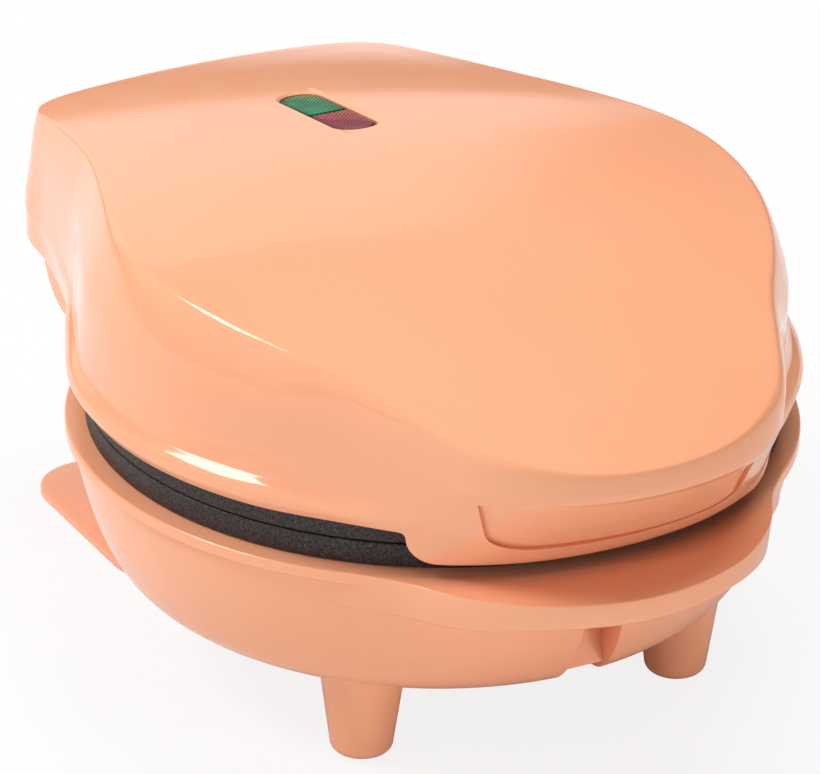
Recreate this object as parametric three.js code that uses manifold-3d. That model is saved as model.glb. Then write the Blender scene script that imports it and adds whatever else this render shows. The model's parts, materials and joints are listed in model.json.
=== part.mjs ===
// A small round waffle maker: a moulded lid and base that close on two cast plates.
// Millimetres, +Z up, the handle towards -Y and the hinge towards +Y.
import * as THREE from 'three';
import { mergeVertices } from 'three/addons/utils/BufferGeometryUtils.js';
import Module from 'manifold-3d';

const wasm = await Module();
wasm.setup();

// Fits and cuts
const clearance = 0.3;
const overrun = 5;
const wall = 2.8;
const sheet = 0.8;

// Overall: the lid's half width, and the heights stacked from the table up
const lidHalfWidth = 91.3;
const bowlBottomZ = 22;
const bowlHeight = 40;
const lowerEdgeHeight = 5.9;
const upperEdgeHeight = 5.2;
const lidRise = 50.6;
const rimZ = bowlBottomZ + bowlHeight;
const splitZ = rimZ + lowerEdgeHeight + clearance + clearance / 2;
const hemZ = splitZ + upperEdgeHeight + clearance + clearance / 2;

// Lid
const noseLength = 21.2;
const tailLength = 46.7;
const noseReach = lidHalfWidth + noseLength;
const tailReach = lidHalfWidth + tailLength;
const crownY = 15;
const crownFallFrontShare = 0.573;
const crownFallBackShare = 0.415;
const crownFallSideShare = 0.164;
const hemThickness = 2.5;
const chinDrop = 8.2;
const chinZ = hemZ - chinDrop;
const chinInset = 13.9;
const chinEndY = chinInset - lidHalfWidth;
const chinRound = 8;
const chinNook = 3;
const chinGap = 0.8;
const tailCutShare = 0.3768;
const tailBlendShare = 0.6087;
const tailFrontDrop = 3.5;
const tailBackDrop = 7.5;
const recessLeft = -38;
const recessRight = 33;
const recessDrop = 3;
const recessTopShare = 0.2767;
const recessRound = 6;
const recessDepth = 1.5;
const noseRoom = 6.3;

// Base
const rimInset = 0.1;
const rimRadius = lidHalfWidth - rimInset;
const rimBand = 3.4;
const rimOverhang = 1.6;
const bowlRadius = rimRadius - rimOverhang;
const lipLength = 19.6;
const lipWidthShare = 0.5757;
const lipReach = rimRadius + lipLength;
const lipHalfWidth = rimRadius * lipWidthShare;
const lipThickness = 7.2;
const lipBevel = 0.9;
const legXShare = 0.495;
const legYShare = 0.5257;
const legX = bowlRadius * legXShare;
const legY = -bowlRadius * legYShare;
const legBottomRadius = 7.8;
const legTopRadius = 10.8;
const legRound = 2.6;
const grooveHalfWidth = 5.3;
const grooveSpread = 2;
const grooveDepth = 11.1;
const grooveFloorY = grooveDepth - bowlRadius;

// Cast plates, which meet at the split
const plateInset = 5.1;
const plateEdgeWidth = 2.3;
const plateRadius = rimRadius - plateInset;
const plateBodyRadius = plateRadius - plateEdgeWidth;
const plateThickness = 10;
const plateFit = 0.5;
const cavityMargin = 14.1;
const cavityRadius = plateRadius - cavityMargin;
const cavityDepth = 5.6;
const waffleHeadroom = 2.3;
const waffleCell = 23;
const waffleRib = 5.4;
const waffleTaper = 1.2;
const wafflePegRoot = 1;

// Hinge
const hingeInset = 28;
const hingeRise = 3.5;
const hingeY = tailReach - hingeInset;
const hingeZ = rimZ + hingeRise;
const barrelRadius = 17;
const barrelWidthShare = 0.5148;
const barrelHalfWidth = lidHalfWidth * barrelWidthShare;
const barrelGap = 1;
const lugInset = 18;
const lugInnerX = barrelHalfWidth - lugInset;
const lugWidth = 7.4;
const lugRadius = 8.5;
const lugTopWidth = 20;
const pinRadius = 2.5;
const pinSink = 4;
const wireSlotHalfWidth = 8;
const wireSlotLength = 10;

// Rear foot and pads
const columnHalfWidth = 34;
const columnDepth = 41;
const columnInset = 12;
const columnBackY = hingeY - columnInset;
const columnFrontY = columnBackY - columnDepth;
const columnCorner = 10;
const footSideReach = 23;
const footFrontReach = 7;
const footBackReach = 21;
const footHalfWidth = columnHalfWidth + footSideReach;
const footFrontY = columnFrontY - footFrontReach;
const footBackY = columnBackY + footBackReach;
const footProud = 0.6;
const footThickness = 2.4;
const footCorner = 14;
const footScrewX = 20;
const footScrewInset = 9;
const footScrewY = columnFrontY + footScrewInset;
const footSeat = 5;
const footScrewLength = 12;
const padRadius = 4.6;
const padThickness = 2.6;
const padProud = 0.5;
const rearPadThickness = 1.6;
const rearPadInset = 15;
const rearPadX = footHalfWidth - footCorner;
const rearPadY = footBackY - rearPadInset;

// Screws and the posts that take them
const plateScrewInset = 8.1;
const plateScrewOrbit = plateRadius - plateScrewInset;
const plateScrewLength = 22;
const screwRadius = 2;
const screwHeadRadius = 3.7;
const screwHeadHeight = 2.4;
const screwSink = 0.5;
const smallScrewRadius = 1.5;
const smallHeadRadius = 2.8;
const smallHeadHeight = 1.8;
const clampScrewLength = 3.6;
const screwSlotWidth = 0.9;
const screwSlotDepth = 0.9;
const postRadius = 4.6;

// Heating
const elementRadius = 3.2;
const panMargin = 20.1;
const elementMargin = 16;
const panRadius = plateRadius - panMargin;
const elementOrbit = panRadius - elementMargin;
const elementGap = 14;
const elementBend = 7;
const elementTail = 22;
const panDepthShare = 0.3;
const panDepth = bowlHeight * panDepthShare;
const panFlangeGap = 1.8;
const panFlangeRadius = plateBodyRadius - panFlangeGap;
const panHoleRadius = 14;
const strapFoot = 8;
const strapWidth = 10;
const fuseRadius = 2;
const fuseLength = 16;
const thermostatRadius = 8;
const thermostatHeight = 7;
const thermostatNeckRadius = 5;
const thermostatNeckHeight = 4.7;
const bladeLength = 6;
const bladeWidth = 5;
const bladeSpacing = 5;

// Lamps
const windowY = 57;
const windowHalfWidth = 5.9;
const windowHalfLength = 19.5;
const lensRecess = 1.3;
const lensFlange = 1.6;
const lensFlangeThickness = 1.6;
const holderDepth = 11;
const holderWall = 1.2;
const lampRadius = 2.4;
const lampLength = 8;

// Mains entry
const glandRadius = 5.5;
const glandFlangeRadius = 8;
const glandSideGap = 3.7;
const glandX = columnHalfWidth + glandSideGap + glandFlangeRadius;
const glandZ = hingeZ - barrelRadius - glandFlangeRadius;
const glandFlange = 2.4;
const glandLength = 9;
const cordRadius = 3.4;
const saddleInset = 18.6;
const saddleOrbit = bowlRadius - saddleInset;
const saddleDepth = 7;
const cordClampGauge = 2;
const cordClampFoot = 7;
const cordScrewRest = 5.8;
const terminalY = 28;
const terminalHalfLength = 15;
const terminalHalfWidth = 8;
const terminalHeightShare = 0.3;
const terminalHeight = bowlHeight * terminalHeightShare;
const terminalPortRadius = 2;
const terminalPortX = 9;
const terminalWellY = 4;
const terminalWellDepth = 3;
const terminalLiftShare = 0.1;
const terminalLift = bowlHeight * terminalLiftShare;
const terminalScrewLength = terminalHeight + terminalLift;

// Facets
const roundSides = 48;
const panSides = 24;
const legSides = 16;
const postSides = 12;
const screwSides = 10;
const tubeSides = 8;
const shankSides = 6;
const ringSamples = 12;
const squareSides = 4;
const elementPoints = 16;
const elementSteps = 30;
const ringSteps = 2;
const curveSteps = 6;
const lipSteps = 2;
const bevelSteps = 1;
const capSteps = 3;
const weld = 1e-4;

// Solids
function toSolid(geometry) {
  const bare = geometry.index ? geometry.toNonIndexed() : geometry.clone();
  bare.deleteAttribute('normal');
  bare.deleteAttribute('uv');
  const merged = mergeVertices(bare, weld);
  return new wasm.Manifold(new wasm.Mesh({
    numProp: 3,
    vertProperties: new Float32Array(merged.attributes.position.array),
    triVerts: new Uint32Array(merged.index.array),
  }));
}

function toGeometry(solid) {
  const mesh = solid.getMesh();
  const geometry = new THREE.BufferGeometry();
  geometry.setAttribute('position', new THREE.BufferAttribute(new Float32Array(mesh.vertProperties), 3));
  geometry.setIndex(new THREE.BufferAttribute(new Uint32Array(mesh.triVerts), 1));
  geometry.computeVertexNormals();
  return geometry;
}

function join(solids) {
  return solids.reduce((all, solid) => all.add(solid));
}

function cut(solid, cutters) {
  return cutters.reduce((left, cutter) => left.subtract(cutter), solid);
}

function boxGeometry(x0, x1, y0, y1, z0, z1) {
  const geometry = new THREE.BoxGeometry(x1 - x0, y1 - y0, z1 - z0);
  return geometry.translate((x0 + x1) / 2, (y0 + y1) / 2, (z0 + z1) / 2);
}

function box(...corners) {
  return toSolid(boxGeometry(...corners));
}

function rod(radius, z0, z1, x = 0, y = 0, sides = screwSides) {
  const geometry = new THREE.CylinderGeometry(radius, radius, z1 - z0, sides).rotateX(Math.PI / 2);
  return toSolid(geometry.translate(x, y, (z0 + z1) / 2));
}

function rodAlongX(radius, x0, x1, y, z, sides = legSides) {
  const geometry = new THREE.CylinderGeometry(radius, radius, Math.abs(x1 - x0), sides).rotateZ(Math.PI / 2);
  return toSolid(geometry.translate((x0 + x1) / 2, y, z));
}

function rodAlongY(radius, y0, y1, x, z, sides = screwSides) {
  const geometry = new THREE.CylinderGeometry(radius, radius, y1 - y0, sides);
  return toSolid(geometry.translate(x, (y0 + y1) / 2, z));
}

function turned(profile, sides, x = 0, y = 0, z = 0) {
  const points = profile.map(([r, height]) => new THREE.Vector2(r, height));
  return toSolid(new THREE.LatheGeometry(points, sides).rotateX(Math.PI / 2).translate(x, y, z));
}

function outline(points) {
  return new THREE.Shape(points.map(([x, y]) => new THREE.Vector2(x, y)));
}

function extruded(shape, depth, curveSegments = curveSteps) {
  return new THREE.ExtrudeGeometry(shape, { depth, bevelEnabled: false, curveSegments });
}

function prism(shape, z0, z1) {
  return toSolid(extruded(shape, z1 - z0).translate(0, 0, z0));
}

// A front view drawn in X and Z, extruded along Y.
function frontPrism(shape, y0, y1) {
  return toSolid(extruded(shape, y1 - y0).rotateX(Math.PI / 2).translate(0, y1, 0));
}

// A side view drawn in Y and Z, extruded along X.
function sidePrism(shape, x0, x1, curveSegments = curveSteps) {
  const yzToXyz = new THREE.Matrix4().set(0, 0, 1, Math.min(x0, x1), 1, 0, 0, 0, 0, 1, 0, 0, 0, 0, 0, 1);
  return toSolid(extruded(shape, Math.abs(x1 - x0), curveSegments).applyMatrix4(yzToXyz));
}

function roundedRectangle(x0, x1, y0, y1, radius) {
  const shape = new THREE.Shape();
  shape.moveTo(x0 + radius, y0);
  shape.lineTo(x1 - radius, y0);
  shape.absarc(x1 - radius, y0 + radius, radius, -Math.PI / 2, 0, false);
  shape.lineTo(x1, y1 - radius);
  shape.absarc(x1 - radius, y1 - radius, radius, 0, Math.PI / 2, false);
  shape.lineTo(x0 + radius, y1);
  shape.absarc(x0 + radius, y1 - radius, radius, Math.PI / 2, Math.PI, false);
  shape.lineTo(x0, y0 + radius);
  shape.absarc(x0 + radius, y0 + radius, radius, Math.PI, Math.PI + Math.PI / 2, false);
  return shape;
}

const sides = [
  { name: 'left', sign: -1 },
  { name: 'right', sign: 1 },
];

// Three screws hold each plate.
function screwCircle(names, start) {
  return names.map((name, i) => {
    const angle = start + 2 * Math.PI * i / names.length;
    return { name, x: plateScrewOrbit * Math.cos(angle), y: plateScrewOrbit * Math.sin(angle) };
  });
}

const upperScrews = screwCircle(['front', 'back_right', 'back_left'], -Math.PI / 2);
const lowerScrews = screwCircle(['back', 'front_left', 'front_right'], Math.PI / 2);

const lowerFaceZ = splitZ - clearance / 2;
const upperFaceZ = splitZ + clearance / 2;
const plateOpening = plateBodyRadius + plateFit;

// The lid's form: closed rings, each given from the nose round to the tail
// as shares of half width, of reach and of the lid's rise above its hem.
const ridgeShares = [
  [0, -0.99], [0.241, -0.956], [0.427, -0.844], [0.515, -0.72], [0.591, -0.596], [0.729, -0.427],
  [0.838, -0.213], [0.876, 0], [0.843, 0.145], [0.756, 0.319], [0.671, 0.486], [0.619, 0.638],
  [0.583, 0.783], [0.556, 0.872], [0.485, 0.922], [0.241, 0.936], [0, 0.938],
];
const browShares = [
  [0, -1, 0.345], [0.244, -0.967, 0.352], [0.444, -0.862, 0.463], [0.542, -0.733, 0.495],
  [0.644, -0.592, 0.5], [0.796, -0.42, 0.535], [0.912, -0.21, 0.554], [0.953, 0, 0.564],
  [0.922, 0.159, 0.564], [0.818, 0.333, 0.564], [0.718, 0.493, 0.564], [0.652, 0.645, 0.554],
  [0.6, 0.786, 0.532], [0.565, 0.88, 0.515], [0.49, 0.943, 0.5], [0.241, 0.957, 0.508], [0, 0.96, 0.51],
];
const waistShares = [
  [0, -0.998, 0.306], [0.244, -0.965, 0.308], [0.452, -0.88, 0.335], [0.553, -0.751, 0.315],
  [0.66, -0.607, 0.276], [0.812, -0.422, 0.256], [0.931, -0.21, 0.256], [0.966, 0, 0.256],
  [0.94, 0.165, 0.256], [0.838, 0.341, 0.256], [0.732, 0.5, 0.256], [0.657, 0.653, 0.256],
  [0.604, 0.79, 0.256], [0.573, 0.892, 0.256], [0.498, 0.961, 0.256], [0.241, 0.973, 0.256],
  [0, 0.976, 0.256],
];
const shoulderShares = [
  [0, -0.983, 0.276], [0.241, -0.953, 0.276], [0.442, -0.884, 0.266], [0.542, -0.756, 0.148],
  [0.66, -0.613, 0.138], [0.83, -0.436, 0.158], [0.954, -0.213, 0.158], [0.988, 0, 0.158],
  [0.955, 0.17, 0.158], [0.85, 0.343, 0.158], [0.736, 0.5, 0.158], [0.66, 0.655, 0.158],
  [0.606, 0.792, 0.158], [0.577, 0.897, 0.158], [0.501, 0.972, 0.158], [0.241, 0.984, 0.158],
  [0, 0.987, 0.158],
];
const beadShares = [
  [0, -0.902, 0.059], [0.241, -0.875, 0.059], [0.416, -0.816, 0.059], [0.533, -0.712, 0.059],
  [0.673, -0.602, 0.059], [0.844, -0.436, 0.059], [0.965, -0.217, 0.059], [1, 0, 0.059],
  [0.967, 0.171, 0.059], [0.855, 0.344, 0.059], [0.737, 0.501, 0.059], [0.66, 0.656, 0.059],
  [0.605, 0.793, 0.059], [0.578, 0.902, 0.059], [0.502, 0.979, 0.059], [0.241, 0.991, 0.059],
  [0, 0.994, 0.059],
];
const hemShares = [
  [0, -0.876], [0.241, -0.85], [0.416, -0.793], [0.533, -0.7], [0.672, -0.577], [0.825, -0.427],
  [0.942, -0.213], [0.978, 0], [0.945, 0.169], [0.841, 0.341], [0.734, 0.493], [0.657, 0.645],
  [0.6, 0.787], [0.57, 0.905], [0.498, 0.984], [0.241, 0.998], [0, 1],
];
const chinFrontShares = [[0, -0.82], [0.241, -0.798], [0.416, -0.745], [0.533, -0.687]];
const chinShares = [...chinFrontShares, ...hemShares.slice(chinFrontShares.length)];
const crownBackPowerShare = 1.5;

function crownHeight(x, y) {
  const along = y < crownY
    ? crownFallFrontShare * ((crownY - y) / (crownY + noseReach)) ** 2
    : crownFallBackShare * ((y - crownY) / (tailReach - crownY)) ** crownBackPowerShare;
  const across = crownFallSideShare * (x / lidHalfWidth) ** 2;
  return hemZ + lidRise * (1 - along - across);
}

// A ring's radius and height at any bearing about the plates' centre.
function ring(shares, height) {
  const half = shares.map(([x, y, z = 0]) => new THREE.Vector3(
    x * lidHalfWidth,
    y * (y < 0 ? noseReach : tailReach),
    hemZ + z * lidRise,
  ));
  const mirrored = half.slice(1, -1).reverse().map((p) => new THREE.Vector3(-p.x, p.y, p.z));
  const curve = new THREE.CatmullRomCurve3([...half, ...mirrored], true, 'centripetal');
  const points = curve.getPoints(ringSamples * (half.length + mirrored.length));
  const bearings = points.map((p) => (Math.atan2(p.x, -p.y) + 2 * Math.PI) % (2 * Math.PI));
  bearings[0] = 0;
  bearings[points.length - 1] = 2 * Math.PI;
  return (bearing) => {
    const next = Math.max(1, bearings.findIndex((b) => b >= bearing));
    const mix = (bearing - bearings[next - 1]) / (bearings[next] - bearings[next - 1]);
    const p = points[next - 1].clone().lerp(points[next], mix);
    return { radius: Math.hypot(p.x, p.y), z: height ? height(p.x, p.y) : p.z };
  };
}

const ridge = ring(ridgeShares, crownHeight);
const brow = ring(browShares);
const waist = ring(waistShares);
const shoulder = ring(shoulderShares);
const bead = ring(beadShares);
const hem = ring(hemShares, () => hemZ);
const chin = ring(chinShares, () => chinZ);
const roundShare = 0.075;

function edgeRound(bearing) {
  const low = brow(bearing);
  const high = ridge(bearing);
  const bulge = roundShare * Math.hypot(high.radius - low.radius, high.z - low.z);
  return { radius: (low.radius + high.radius) / 2 + bulge, z: (low.z + high.z) / 2 + bulge / 2 };
}

function domeRing(share) {
  return (bearing) => {
    const radius = ridge(bearing).radius * share;
    return { radius, z: crownHeight(radius * Math.sin(bearing), -radius * Math.cos(bearing)) };
  };
}

const domeShares = [0.82, 0.6, 0.34];
const crownRings = [brow, edgeRound, ridge, ...domeShares.map(domeRing)];
const innerRings = [filledNose(waist), filledNose(brow), ridge, ...domeShares.map(domeRing)].map(lowered);

function ringBearings() {
  const half = ridgeShares.map(([x, y]) => [x * lidHalfWidth, y * (y < 0 ? noseReach : tailReach)]);
  const corners = half.map(([x, y]) => Math.atan2(x, -y));
  const bearings = corners.slice(1).flatMap((to, i) => {
    const from = corners[i];
    return Array.from({ length: ringSteps }, (_, k) => from + (to - from) * k / ringSteps);
  });
  const mirrored = bearings.slice(1).reverse().map((bearing) => 2 * Math.PI - bearing);
  return [...bearings, Math.PI, ...mirrored];
}

// Inside, the nose is filled out, so that its chin keeps a full wall.
function filledNose(at) {
  return (bearing) => {
    const { radius, z } = at(bearing);
    return { radius: Math.min(radius, bead(bearing).radius + noseRoom), z };
  };
}

function lowered(at) {
  return (bearing) => {
    const { radius, z } = at(bearing);
    return { radius, z: z - wall };
  };
}

// A closed solid through rings that share their bearings, with a flat floor and a peak.
function loft(rings, inset = 0) {
  const bearings = ringBearings();
  const count = bearings.length;
  const positions = [];
  const faces = [];
  rings.forEach((at) => bearings.forEach((bearing) => {
    const { radius, z } = at(bearing);
    positions.push((radius - inset) * Math.sin(bearing), (inset - radius) * Math.cos(bearing), z);
  }));
  for (let level = 0; level < rings.length - 1; level += 1) {
    for (let i = 0; i < count; i += 1) {
      const a = level * count + i;
      const b = level * count + (i + 1) % count;
      faces.push(a, b, b + count, a, b + count, a + count);
    }
  }
  const floor = rings.length * count;
  const peak = floor + 1;
  positions.push(0, 0, positions[2], 0, crownY, crownHeight(0, crownY) - inset);
  for (let i = 0; i < count; i += 1) {
    const next = (i + 1) % count;
    faces.push(floor, next, i);
    faces.push(peak, floor - count + i, floor - count + next);
  }
  const geometry = new THREE.BufferGeometry();
  geometry.setAttribute('position', new THREE.Float32BufferAttribute(positions, 3));
  geometry.setIndex(faces);
  return toSolid(geometry);
}

// The lamp window lies in a frame tilted with the crown.
const windowFrontZ = crownHeight(0, windowY - windowHalfLength);
const windowBackZ = crownHeight(0, windowY + windowHalfLength);
const windowTilt = Math.atan2(windowBackZ - windowFrontZ, 2 * windowHalfLength);
const windowZ = (windowFrontZ + windowBackZ) / 2;

function windowOutline(grow) {
  const halfWidth = windowHalfWidth + grow;
  const halfLength = windowHalfLength + grow;
  return roundedRectangle(-halfWidth, halfWidth, -halfLength, halfLength, halfWidth - clearance);
}

function windowCuts() {
  const depth = wall + 2 * overrun;
  const seatTop = -wall - clearance;
  const opening = extruded(windowOutline(0), depth).translate(0, 0, -wall - overrun);
  const flangeSeat = extruded(windowOutline(lensFlange + clearance), depth).translate(0, 0, seatTop - depth);
  return [opening, flangeSeat].map((geometry) => (
    toSolid(geometry.rotateX(windowTilt).translate(0, windowY, windowZ))
  ));
}

// What is cut from under the lid between the chin's ends and the tail.
function hemCut() {
  const low = chinZ - overrun;
  const shape = new THREE.Shape();
  shape.moveTo(chinEndY - chinRound, low);
  shape.lineTo(chinEndY - chinRound, chinZ);
  shape.quadraticCurveTo(chinEndY, chinZ, chinEndY, chinZ + chinRound / 2);
  shape.lineTo(chinEndY, hemZ - chinNook);
  shape.quadraticCurveTo(chinEndY, hemZ, chinEndY + chinNook, hemZ);
  shape.lineTo(tailReach * tailCutShare, hemZ);
  shape.lineTo(tailReach * tailBlendShare, hemZ - tailFrontDrop);
  shape.lineTo(tailReach + overrun, hemZ - tailBackDrop);
  shape.lineTo(tailReach + overrun, low);
  return sidePrism(shape, -lidHalfWidth - overrun, lidHalfWidth + overrun);
}

function fingerRecess() {
  const topZ = hemZ + lidRise * recessTopShare;
  const shape = roundedRectangle(recessLeft, recessRight, hemZ - recessDrop, topZ, recessRound);
  const front = frontPrism(shape, -noseReach - overrun, -plateRadius);
  return front.subtract(loft([chin, hem, bead, shoulder, ...crownRings], recessDepth));
}

// Each lug hangs from the roof and ends round about the hinge pin.
function lidLug(side) {
  const outerX = lugInnerX + lugWidth;
  const backY = hingeY + lugTopWidth / 2;
  const frontY = hingeY - lugTopWidth / 2;
  const shape = new THREE.Shape();
  shape.moveTo(hingeY - lugRadius, hingeZ);
  shape.absarc(hingeY, hingeZ, lugRadius, Math.PI, 2 * Math.PI, false);
  shape.lineTo(backY, crownHeight(outerX, backY) - wall / 2);
  shape.lineTo(frontY, crownHeight(outerX, frontY) - wall / 2);
  return sidePrism(shape, side.sign * lugInnerX, side.sign * outerX);
}

function lidShell() {
  const outer = loft([chin, hem, bead, shoulder, waist, ...crownRings]);
  const deep = (bearing) => ({ radius: hem(bearing).radius, z: chinZ - overrun });
  const wide = lidHalfWidth + overrun;
  const plateRoomRadius = plateRadius + chinGap;
  const barrelEnd = barrelHalfWidth + barrelGap;
  const postZ = upperFaceZ + plateThickness + sheet + 2 * clearance;
  const screwTopZ = upperFaceZ + screwSink + screwHeadHeight + plateScrewLength + clearance;

  const aboveHem = box(-wide, wide, -noseReach, tailReach, hemZ + hemThickness, hemZ + lidRise);
  const inTail = box(-wide, wide, plateRadius, tailReach, chinZ - overrun, hemZ + lidRise);
  const posts = upperScrews.map(({ x, y }) => rod(postRadius, postZ, hemZ + lidRise, x, y, postSides));
  const room = cut(loft([deep, hem, ...innerRings], wall).intersect(aboveHem.add(inTail)), posts);
  const mouth = rod(plateOpening, chinZ - overrun, hemZ + hemThickness + clearance, 0, 0, roundSides);
  const plateRoom = rod(plateRoomRadius, chinZ - overrun, hemZ, 0, 0, roundSides);
  const barrelRoom = rodAlongX(barrelRadius + barrelGap, -barrelEnd, barrelEnd, hingeY, hingeZ);
  const hollow = cut(outer, [room, mouth, plateRoom, barrelRoom, hemCut(), fingerRecess()]);
  const holes = upperScrews.map(({ x, y }) => rod(screwRadius + clearance, postZ - overrun, screwTopZ, x, y));
  const pinHole = rodAlongX(pinRadius + clearance, -barrelEnd, barrelEnd, hingeY, hingeZ, screwSides);
  return cut(join([hollow, ...sides.map(lidLug)]), [...holes, pinHole, ...windowCuts()]);
}

// Lens halves sit in the window from below, in the window's own frame.
function lens(sign) {
  const flangeTop = -wall - 2 * clearance;
  const flangeBottom = flangeTop - lensFlangeThickness;
  const body = prism(windowOutline(-clearance), flangeBottom, -lensRecess);
  const flange = prism(windowOutline(lensFlange), flangeBottom, flangeTop);
  const reach = windowHalfLength + overrun;
  const near = sign * clearance / 2;
  const far = sign * reach;
  const half = box(-reach, reach, Math.min(near, far), Math.max(near, far), -reach, reach);
  return body.add(flange).intersect(half);
}

const holderTop = -wall - lensFlangeThickness - 3 * clearance;
const holderBottom = holderTop - holderDepth;

function lampHolder() {
  const tray = prism(windowOutline(lensFlange), holderBottom, holderTop);
  const halfWidth = windowHalfWidth + lensFlange - holderWall;
  const halfLength = windowHalfLength + lensFlange - holderWall;
  const floor = holderBottom + holderWall;
  const pockets = [-1, 1].map((sign) => {
    const near = sign * holderWall / 2;
    const far = sign * halfLength;
    const [front, back] = [Math.min(near, far), Math.max(near, far)];
    return prism(roundedRectangle(-halfWidth, halfWidth, front, back, holderWall), floor, holderTop + overrun);
  });
  return cut(tray, pockets);
}

function lamp() {
  return toSolid(new THREE.CapsuleGeometry(lampRadius, lampLength, capSteps, tubeSides));
}

// The base
const bowlSideShares = [
  [0.737, 0], [0.82, 0.03], [0.875, 0.13], [0.918, 0.3], [0.951, 0.5], [0.98, 0.75], [1, 1],
];
const bowlRise = rimZ - rimBand - bowlBottomZ;

function bowlProfile(inset, bottomZ, topZ) {
  const side = bowlSideShares.map(([r, z]) => (
    [r * bowlRadius - inset, Math.max(bowlBottomZ + z * bowlRise, bottomZ)]
  ));
  return [[0, bottomZ], ...side, [bowlRadius - inset, topZ], [0, topZ]];
}

function bowlRadiusAt(z) {
  const share = (z - bowlBottomZ) / bowlRise;
  const i = bowlSideShares.findIndex(([, height]) => height >= share);
  const [lowRadius, low] = bowlSideShares[i - 1];
  const [highRadius, high] = bowlSideShares[i];
  return bowlRadius * (lowRadius + (highRadius - lowRadius) * (share - low) / (high - low));
}

function bowlLean(z, span) {
  return Math.atan2(bowlRadiusAt(z + span / 2) - bowlRadiusAt(z - span / 2), span);
}

const lipShares = [[0, 1], [0.36, 0.972], [0.64, 0.9], [0.82, 0.81], [0.93, 0.735], [1, 0.67]];

function frontLip() {
  const right = lipShares.map(([x, y]) => new THREE.Vector2(x * lipHalfWidth, -y * lipReach));
  const left = right.slice(1).reverse().map((p) => new THREE.Vector2(-p.x, p.y));
  const shape = new THREE.Shape();
  shape.moveTo(left[0].x, left[0].y);
  shape.splineThru([...left.slice(1), ...right]);
  shape.lineTo(0, 0);
  const geometry = new THREE.ExtrudeGeometry(shape, {
    depth: lipThickness - 2 * lipBevel,
    bevelSize: lipBevel,
    bevelThickness: lipBevel,
    bevelOffset: -lipBevel,
    bevelSegments: bevelSteps,
    curveSegments: lipSteps,
  });
  return toSolid(geometry.translate(0, 0, rimZ - lipThickness + lipBevel));
}

function hingeNeck() {
  const underZ = hingeZ - barrelRadius;
  const shape = new THREE.Shape();
  shape.moveTo(plateRadius / 2, underZ);
  shape.lineTo(hingeY, underZ);
  shape.absarc(hingeY, hingeZ, barrelRadius, -Math.PI / 2, Math.PI, false);
  shape.lineTo(hingeY - barrelRadius, rimZ);
  shape.lineTo(plateRadius / 2, rimZ);
  return sidePrism(shape, -barrelHalfWidth, barrelHalfWidth, postSides);
}

const legRoundShare = 0.3;

function frontLeg(side) {
  const inner = legBottomRadius - legRound;
  const profile = [
    [0, padProud],
    [inner, padProud],
    [legBottomRadius - legRoundShare * legRound, padProud + legRoundShare * legRound],
    [legBottomRadius, padProud + legRound],
    [legTopRadius, bowlBottomZ + wall],
    [0, bowlBottomZ + wall],
  ];
  return turned(profile, legSides, side.sign * legX, legY);
}

// An upright notch in the bowl under the lip, a little wider at its foot.
function frontNotch(grow, floorY, topZ) {
  const top = grooveHalfWidth + grow;
  const foot = top + grooveSpread;
  return frontPrism(outline([[-top, topZ], [-top, 0], [foot, 0], [top, topZ]]), -lipReach, floorY);
}

// A tunnel for the wires, from the bowl through the barrel and up into the lid.
function wireDuct() {
  const halfWidth = lugInnerX - pinSink - wall - 2 * clearance;
  const tunnel = rodAlongX(barrelRadius - wall, -halfWidth, halfWidth, hingeY, hingeZ);
  const floorZ = hingeZ - barrelRadius + wall;
  const passage = box(-halfWidth, halfWidth, plateRadius / 2, hingeY, floorZ, rimZ - wall);
  const slotFront = hingeY - wireSlotLength / 2;
  const slotTopZ = hingeZ + barrelRadius + overrun;
  const slotBack = slotFront + wireSlotLength;
  const slot = box(-wireSlotHalfWidth, wireSlotHalfWidth, slotFront, slotBack, hingeZ, slotTopZ);
  return join([tunnel, passage, slot]);
}

function lugSlot(side) {
  const near = side.sign * (lugInnerX - clearance);
  const far = side.sign * (lugInnerX + lugWidth + clearance);
  const front = hingeY - lugRadius - 2 * clearance;
  const reach = barrelRadius + overrun;
  return box(Math.min(near, far), Math.max(near, far), front, hingeY + reach, hingeZ - reach, hingeZ + reach);
}

const pinInnerX = lugInnerX - pinSink;
const pinOuterX = barrelHalfWidth - clearance;
const saddleTopZ = glandZ - cordRadius - clearance;
const saddleHalfWidth = cordRadius + cordClampGauge + cordClampFoot;
const cordScrewX = cordRadius + cordClampGauge + cordClampFoot / 2;
const cordScrewLength = saddleTopZ - bowlBottomZ - cordScrewRest;
const glandOut = bowlRadiusAt(glandZ);
const glandTurn = -Math.asin(glandX / glandOut);
const glandLean = bowlLean(glandZ, 2 * glandFlangeRadius);
const terminalZ = bowlBottomZ + wall + terminalLift + clearance;

function glandBore() {
  const reach = wall + 2 * overrun;
  const bore = glandRadius + clearance;
  const geometry = new THREE.CylinderGeometry(bore, bore, reach, postSides);
  return toSolid(geometry.rotateX(-glandLean).translate(0, glandOut, glandZ).rotateZ(glandTurn));
}

function cordSaddle() {
  const front = saddleOrbit - saddleDepth / 2;
  const block = boxGeometry(
    -saddleHalfWidth, saddleHalfWidth, front, front + saddleDepth, bowlBottomZ + wall / 2, saddleTopZ,
  );
  const bore = smallScrewRadius + clearance;
  const depth = cordScrewLength + clearance;
  const holes = sides.map(({ sign }) => {
    const hole = new THREE.CylinderGeometry(bore, bore, 2 * depth, tubeSides).rotateX(Math.PI / 2);
    return toSolid(hole.translate(sign * cordScrewX, saddleOrbit, saddleTopZ).rotateZ(glandTurn));
  });
  return cut(toSolid(block.rotateZ(glandTurn)), holes);
}

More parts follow.
